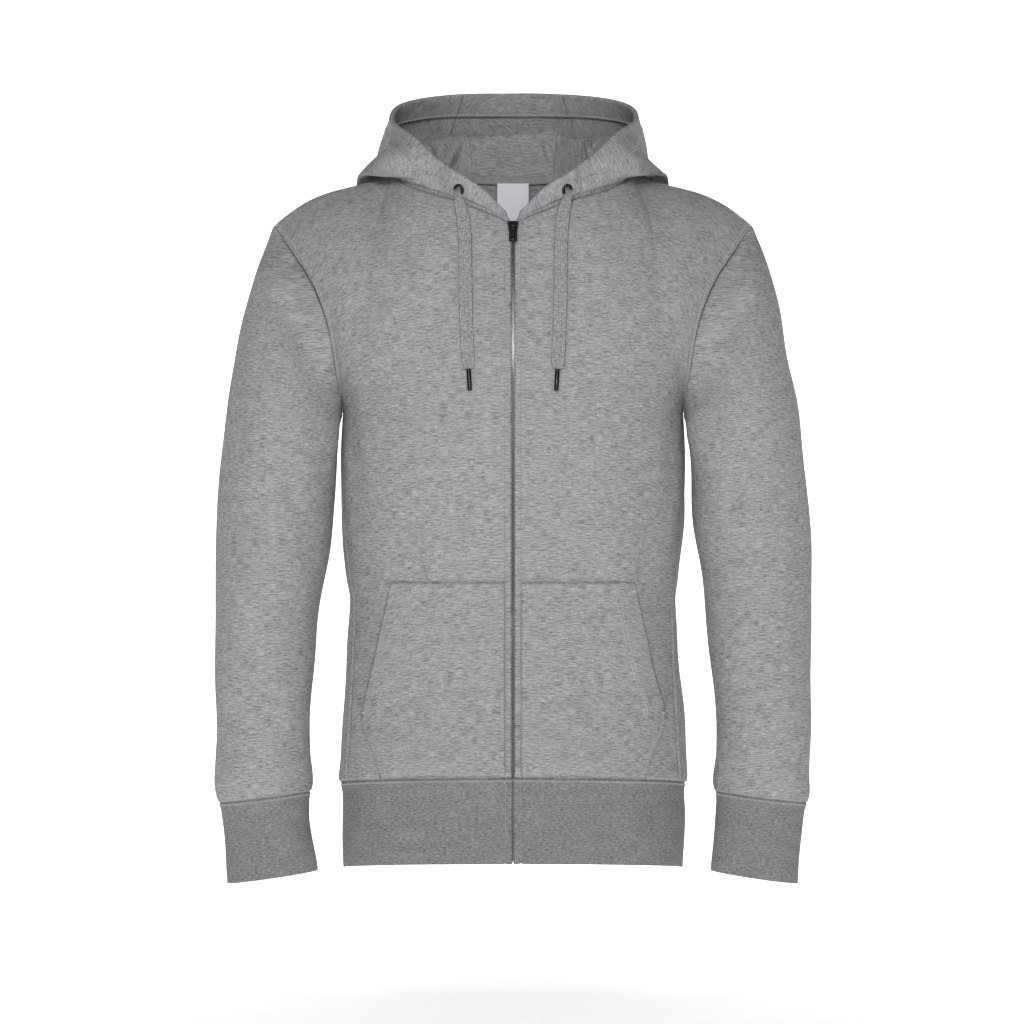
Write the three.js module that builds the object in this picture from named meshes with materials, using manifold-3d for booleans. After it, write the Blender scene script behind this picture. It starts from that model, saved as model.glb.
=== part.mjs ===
// A zip-up hooded sweatshirt in brushed fleece, filled out as if worn, with its hood down on the back.
// Every piece of cloth is a thin closed wall between its outer face and the same face moved inwards.
// The origin is on the centre line, level with the top of the shoulders, where the wearer holds it up.
// +Z is up, the zip faces -Y, and the wearer's left is at +X. All sizes are in millimetres.

import * as THREE from "three";
import Module from "manifold-3d";
import { mergeVertices } from "three/addons/utils/BufferGeometryUtils.js";

const wasm = await Module();
wasm.setup();

// Cloth and seams
const FLEECE = 2;
const SEAM_GAP = 0.4;
const LAY_GAP = 0.35;

// Body of the garment
const HEM_SEAM_Z = -598;
const HEM_Z = -682;
const ARMPIT = { x: 170, y: -2, z: -228 };
const SHOULDER_TIP = { x: 239, y: 0, z: -40 };
const ZIP_EDGE_X = 2.6;
const ROUNDNESS = 0.92;
const SHOULDER_CROWN = 10.5;
const HEM_LIFT = { height: 10, from: -470 };

// Rows of steps across and along the pieces
const NECK_STEPS = 8;
const SHOULDER_STEPS = 4;
const BODY_COLUMNS = NECK_STEPS + SHOULDER_STEPS;
const ARMHOLE_STEPS = 9;
const SIDE_STEPS = 10;
const HOOD_PROFILE_STEPS = 15;

// Body girth below the armpit: half width, depth to front and back, and the side seam's angle from the zip
const GIRTH = [
  { z: -228, half: 170.0, front: 119, back: 119, seam: 89 },
  { z: -275, half: 172.0, front: 118, back: 117, seam: 86 },
  { z: -335, half: 170.5, front: 113, back: 110, seam: 81 },
  { z: -395, half: 165.5, front: 108, back: 103, seam: 77 },
  { z: -415, half: 162.5, front: 107, back: 102, seam: 76 },
  { z: -455, half: 164.5, front: 107, back: 103, seam: 74 },
  { z: -515, half: 169.0, front: 109, back: 107, seam: 72 },
  { z: -575, half: 173.5, front: 111, back: 110, seam: 71 },
  { z: -592, half: 174.5, front: 111, back: 110, seam: 71 },
  { z: -598, half: 172.5, front: 109.5, back: 108.5, seam: 71 },
  { z: -606, half: 171.0, front: 108, back: 107, seam: 71 },
  { z: -682, half: 170.5, front: 106, back: 105, seam: 71 },
];

// Armhole from the shoulder tip, at 0, to the armpit, at 1, on the front and on the back
const ARMHOLE_FRONT = [
  { down: 0.0, x: 239, y: 0, z: -40 },
  { down: 0.15, x: 223, y: -26, z: -64 },
  { down: 0.35, x: 199, y: -50, z: -101 },
  { down: 0.55, x: 182, y: -62, z: -146 },
  { down: 0.78, x: 174, y: -46, z: -196 },
  { down: 1.0, x: 170, y: -2, z: -228 },
];
const ARMHOLE_BACK = [
  { down: 0.0, x: 239, y: 0, z: -40 },
  { down: 0.15, x: 228, y: 26, z: -62 },
  { down: 0.35, x: 208, y: 50, z: -100 },
  { down: 0.55, x: 191, y: 60, z: -148 },
  { down: 0.78, x: 178, y: 42, z: -198 },
  { down: 1.0, x: 170, y: -2, z: -228 },
];

// Sleeve from the armhole to the cuff: its outermost and innermost points, and its front and back faces
const SLEEVE = [
  { along: 0.12, outX: 253, outZ: -76, inX: 172.4, inZ: -238, front: -72, back: 68 },
  { along: 0.23, outX: 268, outZ: -130, inX: 174.2, inZ: -254, front: -78, back: 69 },
  { along: 0.34, outX: 280.5, outZ: -195, inX: 175.6, inZ: -278, front: -79, back: 66 },
  { along: 0.45, outX: 290, outZ: -265, inX: 178.5, inZ: -315, front: -77, back: 60 },
  { along: 0.55, outX: 295.5, outZ: -335, inX: 182.5, inZ: -356, front: -76, back: 51 },
  { along: 0.65, outX: 297.5, outZ: -400, inX: 189.5, inZ: -402, front: -77, back: 41 },
  { along: 0.75, outX: 297.2, outZ: -460, inX: 194.5, inZ: -452, front: -77, back: 31 },
  { along: 0.85, outX: 296, outZ: -522, inX: 200, inZ: -508, front: -75, back: 22 },
  { along: 0.94, outX: 294.8, outZ: -580, inX: 202, inZ: -566, front: -71, back: 13 },
  { along: 0.98, outX: 295.2, outZ: -606, inX: 198.5, inZ: -594, front: -68, back: 9 },
  { along: 1.0, outX: 292.5, outZ: -616, inX: 201, inZ: -605, front: -64, back: 5 },
];
const CUFF = [
  { along: 0.0, outX: 292.5, outZ: -616, inX: 201, inZ: -605, front: -64, back: 5 },
  { along: 0.1, outX: 290, outZ: -624, inX: 202, inZ: -612, front: -62, back: 3 },
  { along: 0.55, outX: 286, outZ: -662, inX: 199.5, inZ: -650, front: -60, back: 1 },
  { along: 1.0, outX: 283.5, outZ: -696, inX: 195, inZ: -683, front: -60, back: -1 },
];

// Hood from the zip, at 0, to the centre back, at 1. Each row is one section from the neck seam, over the
// crest, down inside the fold, round the bottom of the pouch and up its outer wall to the face opening.
const HOOD = [
  { around: 0.0, neck: [4.5, -82, -41], rim: [8, -86, -33] },
  { around: 0.1, neck: [34, -80, -27], rim: [31, -86, -11] },
  { around: 0.2, neck: [58, -74, -17.5], rim: [55, -81, 4] },
  { around: 0.32, neck: [84, -60, -9.5], rim: [77, -64, 21] },
  {
    around: 0.44, neck: [108, -33, 1], crest: [113, -38, 6], inside: [120, -41, 5],
    bottom: [128, -41, 8], wall: [125, -39, 27], rim: [102, -36, 47],
  },
  {
    around: 0.56, neck: [118, 5, 12], crest: [124, 9, 22], inside: [141, 17, 17],
    bottom: [156, 26, 6], wall: [126, 22, 40], rim: [124, 16, 64],
  },
  {
    around: 0.7, neck: [98, 46, 14], crest: [108, 58, 45], inside: [130, 80, 5],
    bottom: [140, 108, -66], wall: [138, 94, 34], rim: [119, 80, 86],
  },
  {
    around: 0.85, neck: [54, 67, 11], crest: [62, 82, 51], inside: [74, 108, -40],
    bottom: [80, 138, -132], wall: [108, 154, -22], rim: [70, 128, 99],
  },
  {
    around: 1.0, neck: [0, 73, 9], crest: [0, 88, 53], inside: [0, 114, -50],
    bottom: [0, 146, -154], wall: [0, 178, -36], rim: [0, 148, 102],
  },
];
const SHOULDER_AROUND = 0.56;
const CENTRE_PANEL_COLUMNS = 2;
const HOOD_HEM_WIDTH = 22;
const HOOD_HEM_TURN = 2.6;

// Largest folds: soft troughs pressed into the cloth from one point to the other, seen from the front
const BODY_FOLDS = [
  { x0: 171, z0: -181, x1: 157, z1: -266, wide: 11, deep: 5 },
  { x0: 157, z0: -266, x1: 153, z1: -334, wide: 12, deep: 4 },
];
const SLEEVE_FOLDS = [
  { x0: 234, z0: -112, x1: 204, z1: -167, wide: 12, deep: 5 },
  { x0: 224, z0: -288, x1: 211, z1: -334, wide: 11, deep: 4 },
  { x0: 285, z0: -300, x1: 230, z1: -322, wide: 10, deep: 2.5 },
];

// Kangaroo pocket halves: the outer edge from the top corner down the mouth to the hem
const POCKET_TOP_Z = -396;
const POCKET_BOTTOM_Z = -593;
const POCKET_INNER_X = 8;
const POCKET_CLOTH = 1.8;
const POCKET_LIFT = 0.6;
const POCKET_GAPE = 3.2;
const POCKET_EDGE = [
  { z: -396, x: 119 },
  { z: -435, x: 126 },
  { z: -485, x: 137 },
  { z: -515, x: 146 },
  { z: -529, x: 149 },
  { z: -545, x: 147 },
  { z: -568, x: 138 },
  { z: -593, x: 131 },
];

// Zip. The slider's and the pull's places are heights above or below the hinge of the pull.
const CHAIN = { half: 2.2, front: 0.4, back: 2.0 };
const TAPE = { outer: 13, thick: 0.8, bend: 0.8 };
const HINGE_DOWN = 5.5;
const SLIDER = { half: 5, up: 5, down: 6.5, near: 0.75, far: 2.35 };
const BRIDGE = { half: 1.1, inside: 1.7, outside: 2.9, top: 2.4, thick: 1.1 };
const PULL = { half: 4.1, length: 18, thick: 1.4, bar: 0.7, out: 3.55 };
const PULL_HOLES = { half: 2.2, upper: 4.4, lower: 4.2, lowerBar: 1.6 };

// Drawcords, eyelets and tips
const EYELET = { around: 0.185, share: 0.42, outer: 5.8, inner: 2.6, thick: 1.1 };
const CORD = { wide: 13, thick: 2.6, sides: 12, steps: 24 };
const TIP = { length: 21, radius: 2.3 };
// The left cord's route, chosen by hand: out of the eyelet, over it and down the chest
const CORD_ROUTE = [
  [54.2, -81.1, -10.3],
  [54.9, -83.2, -11.1],
  [54.8, -85.0, -13.8],
  [53.7, -86.2, -18.4],
  [51.8, -87.2, -25.0],
  [49.7, -88.6, -33.0],
  [48.3, -91.6, -44.0],
  [47.3, -95.4, -58.0],
  [46.8, -99.8, -74.5],
  [46.6, -104.0, -92.0],
  [46.4, -107.8, -110.0],
  [46.0, -110.8, -129.0],
  [45.4, -113.2, -148.5],
  [44.5, -115.0, -168.0],
  [43.4, -116.5, -187.3],
];

// Neck trims
const NECK_TAPE = { fromStep: 11, half: 4.5, thick: 1.1 };
const LABEL = { half: 16.5, top: 6, height: 48, thick: 1.0 };

const material = {
  fleece: () => new THREE.MeshStandardMaterial({ color: 0x8f9194, roughness: 0.95, metalness: 0 }),
  rib: () => new THREE.MeshStandardMaterial({ color: 0x808286, roughness: 0.95, metalness: 0 }),
  cord: () => new THREE.MeshStandardMaterial({ color: 0x8a8c8f, roughness: 0.9, metalness: 0 }),
  tape: () => new THREE.MeshStandardMaterial({ color: 0x7b7d80, roughness: 0.9, metalness: 0 }),
  label: () => new THREE.MeshStandardMaterial({ color: 0xe9edf4, roughness: 0.7, metalness: 0 }),
  metal: () => new THREE.MeshStandardMaterial({ color: 0x24262a, roughness: 0.35, metalness: 0.9 }),
};

// A smooth value of one column of a table between its rows, read at a place along another column
function between(rows, along, at, column) {
  const rising = rows[rows.length - 1][along] > rows[0][along];
  let i = 0;
  while (i < rows.length - 2 && (rising ? rows[i + 1][along] < at : rows[i + 1][along] > at)) {
    i += 1;
  }
  const slope = (k) => {
    const before = rows[Math.max(k - 1, 0)];
    const after = rows[Math.min(k + 1, rows.length - 1)];
    return (after[column] - before[column]) / (after[along] - before[along]);
  };
  const a = rows[i];
  const b = rows[i + 1];
  const step = b[along] - a[along];
  const t = THREE.MathUtils.clamp((at - a[along]) / step, 0, 1);
  const rest = 1 - t;
  return (
    a[column] * rest * rest * (1 + 2 * t) +
    b[column] * t * t * (3 - 2 * t) +
    slope(i) * step * t * rest * rest -
    slope(i + 1) * step * t * t * rest
  );
}

// A smooth curve through a few points, read at a share of the way
function along(points, share) {
  const rows = points.map((p, i) => ({ i, x: p.x, y: p.y, z: p.z }));
  const at = share * (points.length - 1);
  return new THREE.Vector3(
    between(rows, "i", at, "x"),
    between(rows, "i", at, "y"),
    between(rows, "i", at, "z"),
  );
}

const steps = (count) => Array.from({ length: count + 1 }, (_, i) => i / count);

// How far a point lies pressed in by the folds, from its place seen from the front
function pressed(folds, x, z) {
  let depth = 0;
  for (const fold of folds) {
    const runX = fold.x1 - fold.x0;
    const runZ = fold.z1 - fold.z0;
    const t = ((x - fold.x0) * runX + (z - fold.z0) * runZ) / (runX * runX + runZ * runZ);
    const near = THREE.MathUtils.clamp(t, 0, 1);
    const off = Math.hypot(x - fold.x0 - near * runX, z - fold.z0 - near * runZ);
    depth = Math.max(depth, fold.deep * Math.exp(-((off / fold.wide) ** 2)));
  }
  return depth;
}

// Body surface below the armpit, at an angle from the zip
function bodyLow(z, degrees) {
  const angle = THREE.MathUtils.degToRad(degrees);
  const depth = between(GIRTH, "z", z, degrees < 90 ? "front" : "back");
  const cosine = Math.cos(angle);
  const y = -Math.sign(cosine) * depth * Math.abs(cosine) ** ROUNDNESS;
  const nearHem = THREE.MathUtils.smoothstep(HEM_LIFT.from - z, 0, HEM_LIFT.from - HEM_SEAM_Z);
  const lift = HEM_LIFT.height * nearHem * Math.max(cosine, 0);
  return new THREE.Vector3(between(GIRTH, "z", z, "half") * Math.sin(angle), y, z + lift);
}

// Neck seam and shoulder seam: the top edge of the fronts and the back, from the centre to the shoulder tip
function topEdge(column, face) {
  if (column <= NECK_STEPS) {
    const share = column / NECK_STEPS;
    const rest = 1 - SHOULDER_AROUND;
    return hoodSection(face === "front" ? SHOULDER_AROUND * share : 1 - rest * share).neck;
  }
  const share = (column - NECK_STEPS) / SHOULDER_STEPS;
  const tip = new THREE.Vector3(SHOULDER_TIP.x, SHOULDER_TIP.y, SHOULDER_TIP.z);
  const point = hoodSection(SHOULDER_AROUND).neck.lerp(tip, share);
  point.z += SHOULDER_CROWN * Math.sin(Math.PI * share ** 1.6);
  return point;
}

// Angles of the body's columns where the armhole ends, evenly from the centre to the armpit
function bodyAngle(column, z, face) {
  const seam = between(GIRTH, "z", z, "seam");
  const share = column / BODY_COLUMNS;
  if (face === "front") {
    const start = THREE.MathUtils.radToDeg(ZIP_EDGE_X / between(GIRTH, "z", z, "half"));
    return start + (seam - start) * share;
  }
  return 180 - (180 - seam) * share;
}

// Body surface above the armpit: each column curves from the top edge down to the row at the armpit
function bodyHigh(down, column, face) {
  const table = face === "front" ? ARMHOLE_FRONT : ARMHOLE_BACK;
  const turn = (down * Math.PI) / 2;
  const curve = (c) => {
    const top = topEdge(c, face);
    const low = bodyLow(ARMPIT.z, bodyAngle(c, ARMPIT.z, face));
    const narrowing = (between(table, "down", down, "x") - SHOULDER_TIP.x) / (ARMPIT.x - SHOULDER_TIP.x);
    const straight = THREE.MathUtils.lerp(0.75, 0.12, Math.min(c / NECK_STEPS, 1));
    return new THREE.Vector3(
      top.x + (low.x - top.x) * narrowing,
      top.y + (low.y - top.y) * Math.sin(turn),
      top.z + (low.z - top.z) * (straight * down + (1 - straight) * (1 - Math.cos(turn))),
    );
  };
  const point = curve(column);
  const edge = curve(BODY_COLUMNS);
  const share = (column / BODY_COLUMNS) ** 3;
  point.x += share * (between(table, "down", down, "x") - edge.x);
  point.y += share * (between(table, "down", down, "y") - edge.y);
  point.z += share * (between(table, "down", down, "z") - edge.z);
  return point;
}

// All rows of a front or half the back, from the top edge to the hem seam
function bodyRows(face) {
  const rows = [];
  for (const down of steps(ARMHOLE_STEPS)) {
    rows.push(steps(BODY_COLUMNS).map((s) => bodyHigh(down, Math.round(s * BODY_COLUMNS), face)));
  }
  for (const low of steps(SIDE_STEPS).slice(1)) {
    const z = ARMPIT.z + (HEM_SEAM_Z - ARMPIT.z) * low ** 0.94;
    rows.push(steps(BODY_COLUMNS).map((s) => bodyLow(z, bodyAngle(s * BODY_COLUMNS, z, face))));
  }
  return rows;
}

// One section of the hood at a place around the neck, as its named points
function hoodSection(around) {
  const filled = HOOD.map((row) => {
    const neck = new THREE.Vector3(...row.neck);
    const rim = new THREE.Vector3(...row.rim);
    const part = (given, share) => {
      if (given) {
        return new THREE.Vector3(...given);
      }
      const point = neck.clone().lerp(rim, share);
      point.y -= 4 * Math.sin(Math.PI * share) * row.around;
      return point;
    };
    return {
      around: row.around,
      neck,
      crest: part(row.crest, 0.25),
      inside: part(row.inside, 0.42),
      bottom: part(row.bottom, 0.6),
      wall: part(row.wall, 0.8),
      rim,
    };
  });
  const section = {};
  for (const name of ["neck", "crest", "inside", "bottom", "wall", "rim"]) {
    const rows = filled.map((row) => ({ around: row.around, ...pointColumns(row[name]) }));
    const beyond = rows[rows.length - 2];
    rows.push({ ...beyond, around: 2 - beyond.around, x: -beyond.x });
    section[name] = new THREE.Vector3(
      between(rows, "around", around, "x"),
      between(rows, "around", around, "y"),
      between(rows, "around", around, "z"),
    );
  }
  return section;
}

function pointColumns(point) {
  return { x: point.x, y: point.y, z: point.z };
}

// The hood's outer face at one place around the neck, from the neck seam to the face opening
function hoodColumn(around) {
  const section = hoodSection(around);
  const knots = [section.neck, section.crest, section.inside, section.bottom, section.wall, section.rim];
  return steps(HOOD_PROFILE_STEPS).map((share) => along(knots, share));
}

// Places around the neck from the zip to the centre back, the same as on the fronts and the back
function neckPlaces() {
  const front = steps(NECK_STEPS).map((share) => SHOULDER_AROUND * share);
  const back = steps(NECK_STEPS).slice(1).map((share) => SHOULDER_AROUND + (1 - SHOULDER_AROUND) * share);
  return [...front, ...back];
}

// The whole hood as one grid: its top row is the face opening, its bottom row the neck seam, and its
// columns run from the zip round the wearer's right, the back and the left to the zip again
function hoodRows() {
  const left = neckPlaces().map(hoodColumn);
  const right = left.map((column) => column.map((p) => new THREE.Vector3(-p.x, p.y, p.z)));
  const columns = [...right, ...left.slice(0, -1).reverse()];
  return steps(HOOD_PROFILE_STEPS).map((_, i) => columns.map((column) => column[HOOD_PROFILE_STEPS - i]));
}

// Rows before the hood's first one: the cloth turned in over the face opening and down inside as a hem
function hemRows(rows, normals) {
  const turn = [45, 90, 135, 180].map((degrees) => {
    const angle = THREE.MathUtils.degToRad(degrees);
    return rows[0].map((rim, j) => {
      const on = rim.clone().sub(rows[1][j]).normalize();
      return rim.clone()
        .addScaledVector(on, HOOD_HEM_TURN * Math.sin(angle))
        .addScaledVector(normals[0][j], -HOOD_HEM_TURN * (1 - Math.cos(angle)));
    });
  });
  const back = [0.5, 1].map((share) => rows[0].map((_, j) => {
    const column = rows.map((row) => row[j]);
    const place = backAlong(column, share);
    const near = Math.min(Math.round(place.at), rows.length - 1);
    return place.point.addScaledVector(normals[near][j], -2 * HOOD_HEM_TURN);
  }));
  return [back[1], back[0], ...turn.reverse()];
}

// The point of a column at a share of the hem's width below the face opening, never over half the column
function backAlong(column, share) {
  let length = 0;
  for (let i = 1; i < column.length; i += 1) {
    length += column[i].distanceTo(column[i - 1]);
  }
  let left = share * Math.min(HOOD_HEM_WIDTH, length / 2);
  let i = 0;
  while (i < column.length - 2 && left > column[i].distanceTo(column[i + 1])) {
    left -= column[i].distanceTo(column[i + 1]);
    i += 1;
  }
  const part = left / column[i].distanceTo(column[i + 1]);
  return { at: i + part, point: column[i].clone().lerp(column[i + 1], part) };
}

// Outward normals of a grid of points, from each point's neighbours along its row and its column
function normalsOf(grid, closed) {
  const last = grid.length - 1;
  const wide = grid[0].length;
  return grid.map((row, i) => row.map((_, j) => {
    const before = closed ? (j + wide - 1) % wide : Math.max(j - 1, 0);
    const after = closed ? (j + 1) % wide : Math.min(j + 1, wide - 1);
    const across = row[after].clone().sub(row[before]);
    const down = grid[Math.min(i + 1, last)][j].clone().sub(grid[Math.max(i - 1, 0)][j]);
    return across.cross(down).normalize();
  }));
}

const moved = (grid, normals, distance) =>
  grid.map((row, i) => row.map((p, j) => p.clone().addScaledVector(normals[i][j], distance)));

const mirrored = (grid) => grid.map((row) => row.map((p) => new THREE.Vector3(-p.x, p.y, p.z)).reverse());

// Edge rows and columns drawn back a little, so that two pieces sewn together keep a gap
function trimmed(grid, edges, distance) {
  const result = grid.map((row) => row.map((p) => p.clone()));
  const last = grid.length - 1;
  const wide = grid[0].length - 1;
  const pull = (i, j, fromI, fromJ) => {
    const step = grid[fromI][fromJ].clone().sub(grid[i][j]).setLength(distance);
    result[i][j].add(step);
  };
  for (let j = 0; j <= wide; j += 1) {
    if (edges.includes("top")) {
      pull(0, j, 1, j);
    }
    if (edges.includes("bottom")) {
      pull(last, j, last - 1, j);
    }
  }
  for (let i = 0; i <= last; i += 1) {
    if (edges.includes("first")) {
      pull(i, 0, i, 1);
    }
    if (edges.includes("final")) {
      pull(i, wide, i, wide - 1);
    }
  }
  return result;
}

// Quads, each cut along its shorter diagonal, into one closed geometry
function closedGeometry(quads) {
  const positions = [];
  for (const [a, b, c, d] of quads) {
    const short = a.distanceTo(c) < b.distanceTo(d);
    for (const p of short ? [a, b, c, a, c, d] : [a, b, d, b, c, d]) {
      positions.push(p.x, p.y, p.z);
    }
  }
  const geometry = new THREE.BufferGeometry();
  geometry.setAttribute("position", new THREE.Float32BufferAttribute(positions, 3));
  return mergeVertices(geometry, 1e-4);
}

// A wall of cloth between two matching grids, the outer and the inner face
function wallGeometry(outer, inner, closed) {
  const last = outer.length - 1;
  const wide = outer[0].length;
  const quads = [];
  for (let i = 0; i < last; i += 1) {
    for (let j = 0; j < (closed ? wide : wide - 1); j += 1) {
      const k = (j + 1) % wide;
      quads.push([outer[i][j], outer[i][k], outer[i + 1][k], outer[i + 1][j]]);
      quads.push([inner[i][j], inner[i + 1][j], inner[i + 1][k], inner[i][k]]);
    }
  }
  for (let j = 0; j < (closed ? wide : wide - 1); j += 1) {
    const k = (j + 1) % wide;
    quads.push([outer[0][k], outer[0][j], inner[0][j], inner[0][k]]);
    quads.push([outer[last][j], outer[last][k], inner[last][k], inner[last][j]]);
  }
  if (!closed) {
    const end = wide - 1;
    for (let i = 0; i < last; i += 1) {
      quads.push([outer[i][0], outer[i + 1][0], inner[i + 1][0], inner[i][0]]);
      quads.push([outer[i + 1][end], outer[i][end], inner[i][end], inner[i + 1][end]]);
    }
  }
  return closedGeometry(quads);
}

// A solid bar through matching rings, closed at both ends
function barGeometry(rings) {
  const last = rings.length - 1;
  const quads = [];
  for (let i = 0; i < last; i += 1) {
    for (let j = 0; j < 4; j += 1) {
      const k = (j + 1) % 4;
      quads.push([rings[i][j], rings[i][k], rings[i + 1][k], rings[i + 1][j]]);
    }
  }
  quads.push([rings[0][3], rings[0][2], rings[0][1], rings[0][0]]);
  quads.push([rings[last][0], rings[last][1], rings[last][2], rings[last][3]]);
  return closedGeometry(quads);
}

const group = new THREE.Group();
group.name = "zip_hoodie";

function addMesh(name, geometry, finish) {
  const mesh = new THREE.Mesh(geometry, finish);
  mesh.name = name;
  group.add(mesh);
  return mesh;
}

// Cloth pieces that are sewn to each other share the direction of their wall where they meet
const sewn = [];

function sew(name, grid, finish, edges, closed = false, thickness = FLEECE) {
  sewn.push({ name, grid, finish, edges, closed, thickness, normals: normalsOf(grid, closed) });
}

function buildSewn() {
  const edgePoints = [];
  for (const piece of sewn) {
    piece.grid.forEach((row, i) => row.forEach((p, j) => {
      const onEnd = i === 0 || i === piece.grid.length - 1;
      const onSide = !piece.closed && (j === 0 || j === row.length - 1);
      if (onEnd || onSide) {
        edgePoints.push({ piece, i, j, p, normal: piece.normals[i][j].clone() });
      }
    }));
  }
  const shared = edgePoints.map((one) => {
    const sum = new THREE.Vector3();
    for (const other of edgePoints) {
      if (other.p.distanceToSquared(one.p) < 0.01) {
        sum.add(other.normal);
      }
    }
    return sum.length() > 0.3 ? sum.normalize() : one.normal;
  });
  edgePoints.forEach((one, index) => {
    one.piece.normals[one.i][one.j] = shared[index];
  });
  for (const piece of sewn) {
    const outer = trimmed(piece.grid, piece.edges, SEAM_GAP / 2);
    const inner = moved(outer, piece.normals, -piece.thickness);
    addMesh(piece.name, wallGeometry(outer, inner, piece.closed), piece.finish);
  }
}

// A piece that lies on or under another: its two faces are the other's points, moved out or in
function layGeometry(grid, near, far) {
  const normals = normalsOf(grid, false);
  return wallGeometry(moved(grid, normals, far), moved(grid, normals, near), false);
}

// Presses the folds of a table into a grid, towards the middle of the piece
function withFolds(grid, folds, middleY) {
  return grid.map((row) => row.map((p) => {
    const side = Math.tanh((middleY - p.y) / 20);
    return new THREE.Vector3(p.x, p.y + side * pressed(folds, Math.abs(p.x), p.z), p.z);
  }));
}

// A grid of columns cut out of a wider one
const columnsOf = (grid, from, to) => grid.map((row) => row.slice(from, to + 1));

// Fronts and back
const frontRows = withFolds(bodyRows("front"), BODY_FOLDS, 0);
const backHalf = withFolds(bodyRows("back"), BODY_FOLDS, 0);
const frontLeft = frontRows.map((row) => [...row].reverse());
const backRows = mirrored(backHalf).map((row, i) => [...row, ...backHalf[i].slice(1)]);
sew("front_left", frontLeft, material.fleece(), ["top", "bottom", "first"]);
sew("front_right", mirrored(frontLeft), material.fleece(), ["top", "bottom", "final"]);
sew("back", backRows, material.fleece(), ["top", "bottom", "first", "final"]);

// Hem band
const hemLevels = [HEM_SEAM_Z, -603, -610, -646, HEM_Z];
const bandRows = hemLevels.map((z) => {
  const front = steps(BODY_COLUMNS).map((share) => bodyLow(z, bodyAngle(share * BODY_COLUMNS, z, "front")));
  const back = steps(BODY_COLUMNS).map((share) => bodyLow(z, bodyAngle(share * BODY_COLUMNS, z, "back")));
  const left = [...back, ...front.slice(0, -1).reverse()];
  return [...mirrored([left])[0], ...left.slice(1)];
});
sew("waistband", bandRows, material.rib(), ["top"]);

// Sleeves and cuffs: closed rings that start at the top and run over the front, under and up the back
function armholeRing() {
  const front = steps(ARMHOLE_STEPS).map((down) => bodyHigh(down, BODY_COLUMNS, "front"));
  const back = steps(ARMHOLE_STEPS).map((down) => bodyHigh(down, BODY_COLUMNS, "back"));
  return [...front, ...back.slice(1, -1).reverse()];
}

const RING_POINTS = 2 * ARMHOLE_STEPS;

function sectionRing(row) {
  return steps(RING_POINTS).slice(0, -1).map((share) => {
    const angle = share * 2 * Math.PI;
    const outward = (1 + Math.cos(angle)) / 2;
    return {
      along: row.along,
      x: THREE.MathUtils.lerp(row.inX, row.outX, outward),
      y: THREE.MathUtils.lerp(row.back, row.front, (1 + Math.sin(angle)) / 2),
      z: THREE.MathUtils.lerp(row.inZ, row.outZ, outward),
    };
  });
}

function tubeRows(rings, places) {
  return places.map((at) => rings[0].map((_, j) => {
    const column = rings.map((ring) => ring[j]);
    return new THREE.Vector3(
      between(column, "along", at, "x"),
      between(column, "along", at, "y"),
      between(column, "along", at, "z"),
    );
  }));
}

const armhole = armholeRing().map((p) => ({ along: 0, ...pointColumns(p) }));
const sleevePlaces = [...steps(16).slice(0, -1), 0.97, 0.985, 1];
const sleeveRings = [armhole, ...SLEEVE.map(sectionRing)];
const sleeveRows = withFolds(tubeRows(sleeveRings, sleevePlaces), SLEEVE_FOLDS, -8);
const cuffRows = tubeRows(CUFF.map(sectionRing), [0, 0.08, 0.3, 0.65, 1]);
sew("sleeve_left", sleeveRows, material.fleece(), ["top", "bottom"], true);
sew("sleeve_right", mirrored(sleeveRows), material.fleece(), ["top", "bottom"], true);
sew("cuff_left", cuffRows, material.rib(), ["top"], true);
sew("cuff_right", mirrored(cuffRows), material.rib(), ["top"], true);

// Hood of three panels
const plainHood = hoodRows();
const hood = [...hemRows(plainHood, normalsOf(plainHood, false)), ...plainHood];
const hoodEnd = plainHood[0].length - 1;
const panelStart = hoodEnd / 2 - CENTRE_PANEL_COLUMNS;
const panelEnd = hoodEnd / 2 + CENTRE_PANEL_COLUMNS;
sew("hood_right", columnsOf(hood, 0, panelStart), material.fleece(), ["bottom", "final"]);
sew("hood_centre", columnsOf(hood, panelStart, panelEnd), material.fleece(), ["bottom", "first", "final"]);
sew("hood_left", columnsOf(hood, panelEnd, hoodEnd), material.fleece(), ["bottom", "first"]);
buildSewn();

// Pocket halves: each lies on its front, from the zip's stitching out to a mouth that gapes a little
function pocketRows() {
  return steps(10).map((share) => {
    const z = THREE.MathUtils.lerp(POCKET_TOP_Z, POCKET_BOTTOM_Z, share);
    const edge = between(POCKET_EDGE, "z", z, "x");
    return steps(8).map((across) => {
      const x = THREE.MathUtils.lerp(edge, POCKET_INNER_X, across);
      const half = between(GIRTH, "z", z, "half");
      return bodyLow(z, THREE.MathUtils.radToDeg(Math.asin(x / half)));
    });
  });
}

function pocketGeometry(grid) {
  const normals = normalsOf(grid, false);
  const last = grid.length - 1;
  const lift = (i, j) => {
    const mouth = Math.sin(Math.PI * Math.min((1.5 * i) / last, 1)) * (1 - j / (grid[0].length - 1)) ** 5;
    return POCKET_LIFT + POCKET_GAPE * mouth;
  };
  const face = (extra) => grid.map((row, i) => row.map((p, j) =>
    p.clone().addScaledVector(normals[i][j], lift(i, j) + extra)));
  return wallGeometry(face(POCKET_CLOTH), face(0), false);
}

// Both hands of a piece whose left one is at +X
function addPair(name, geometry, finish) {
  addMesh(`${name}_left`, geometry, finish());
  const other = geometry.clone().scale(-1, 1, 1);
  const order = Array.from(other.index.array);
  for (let i = 0; i < order.length; i += 3) {
    [order[i], order[i + 1]] = [order[i + 1], order[i]];
  }
  other.setIndex(order);
  addMesh(`${name}_right`, other, finish());
}

addPair("pocket", pocketGeometry(pocketRows()), material.fleece);

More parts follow.
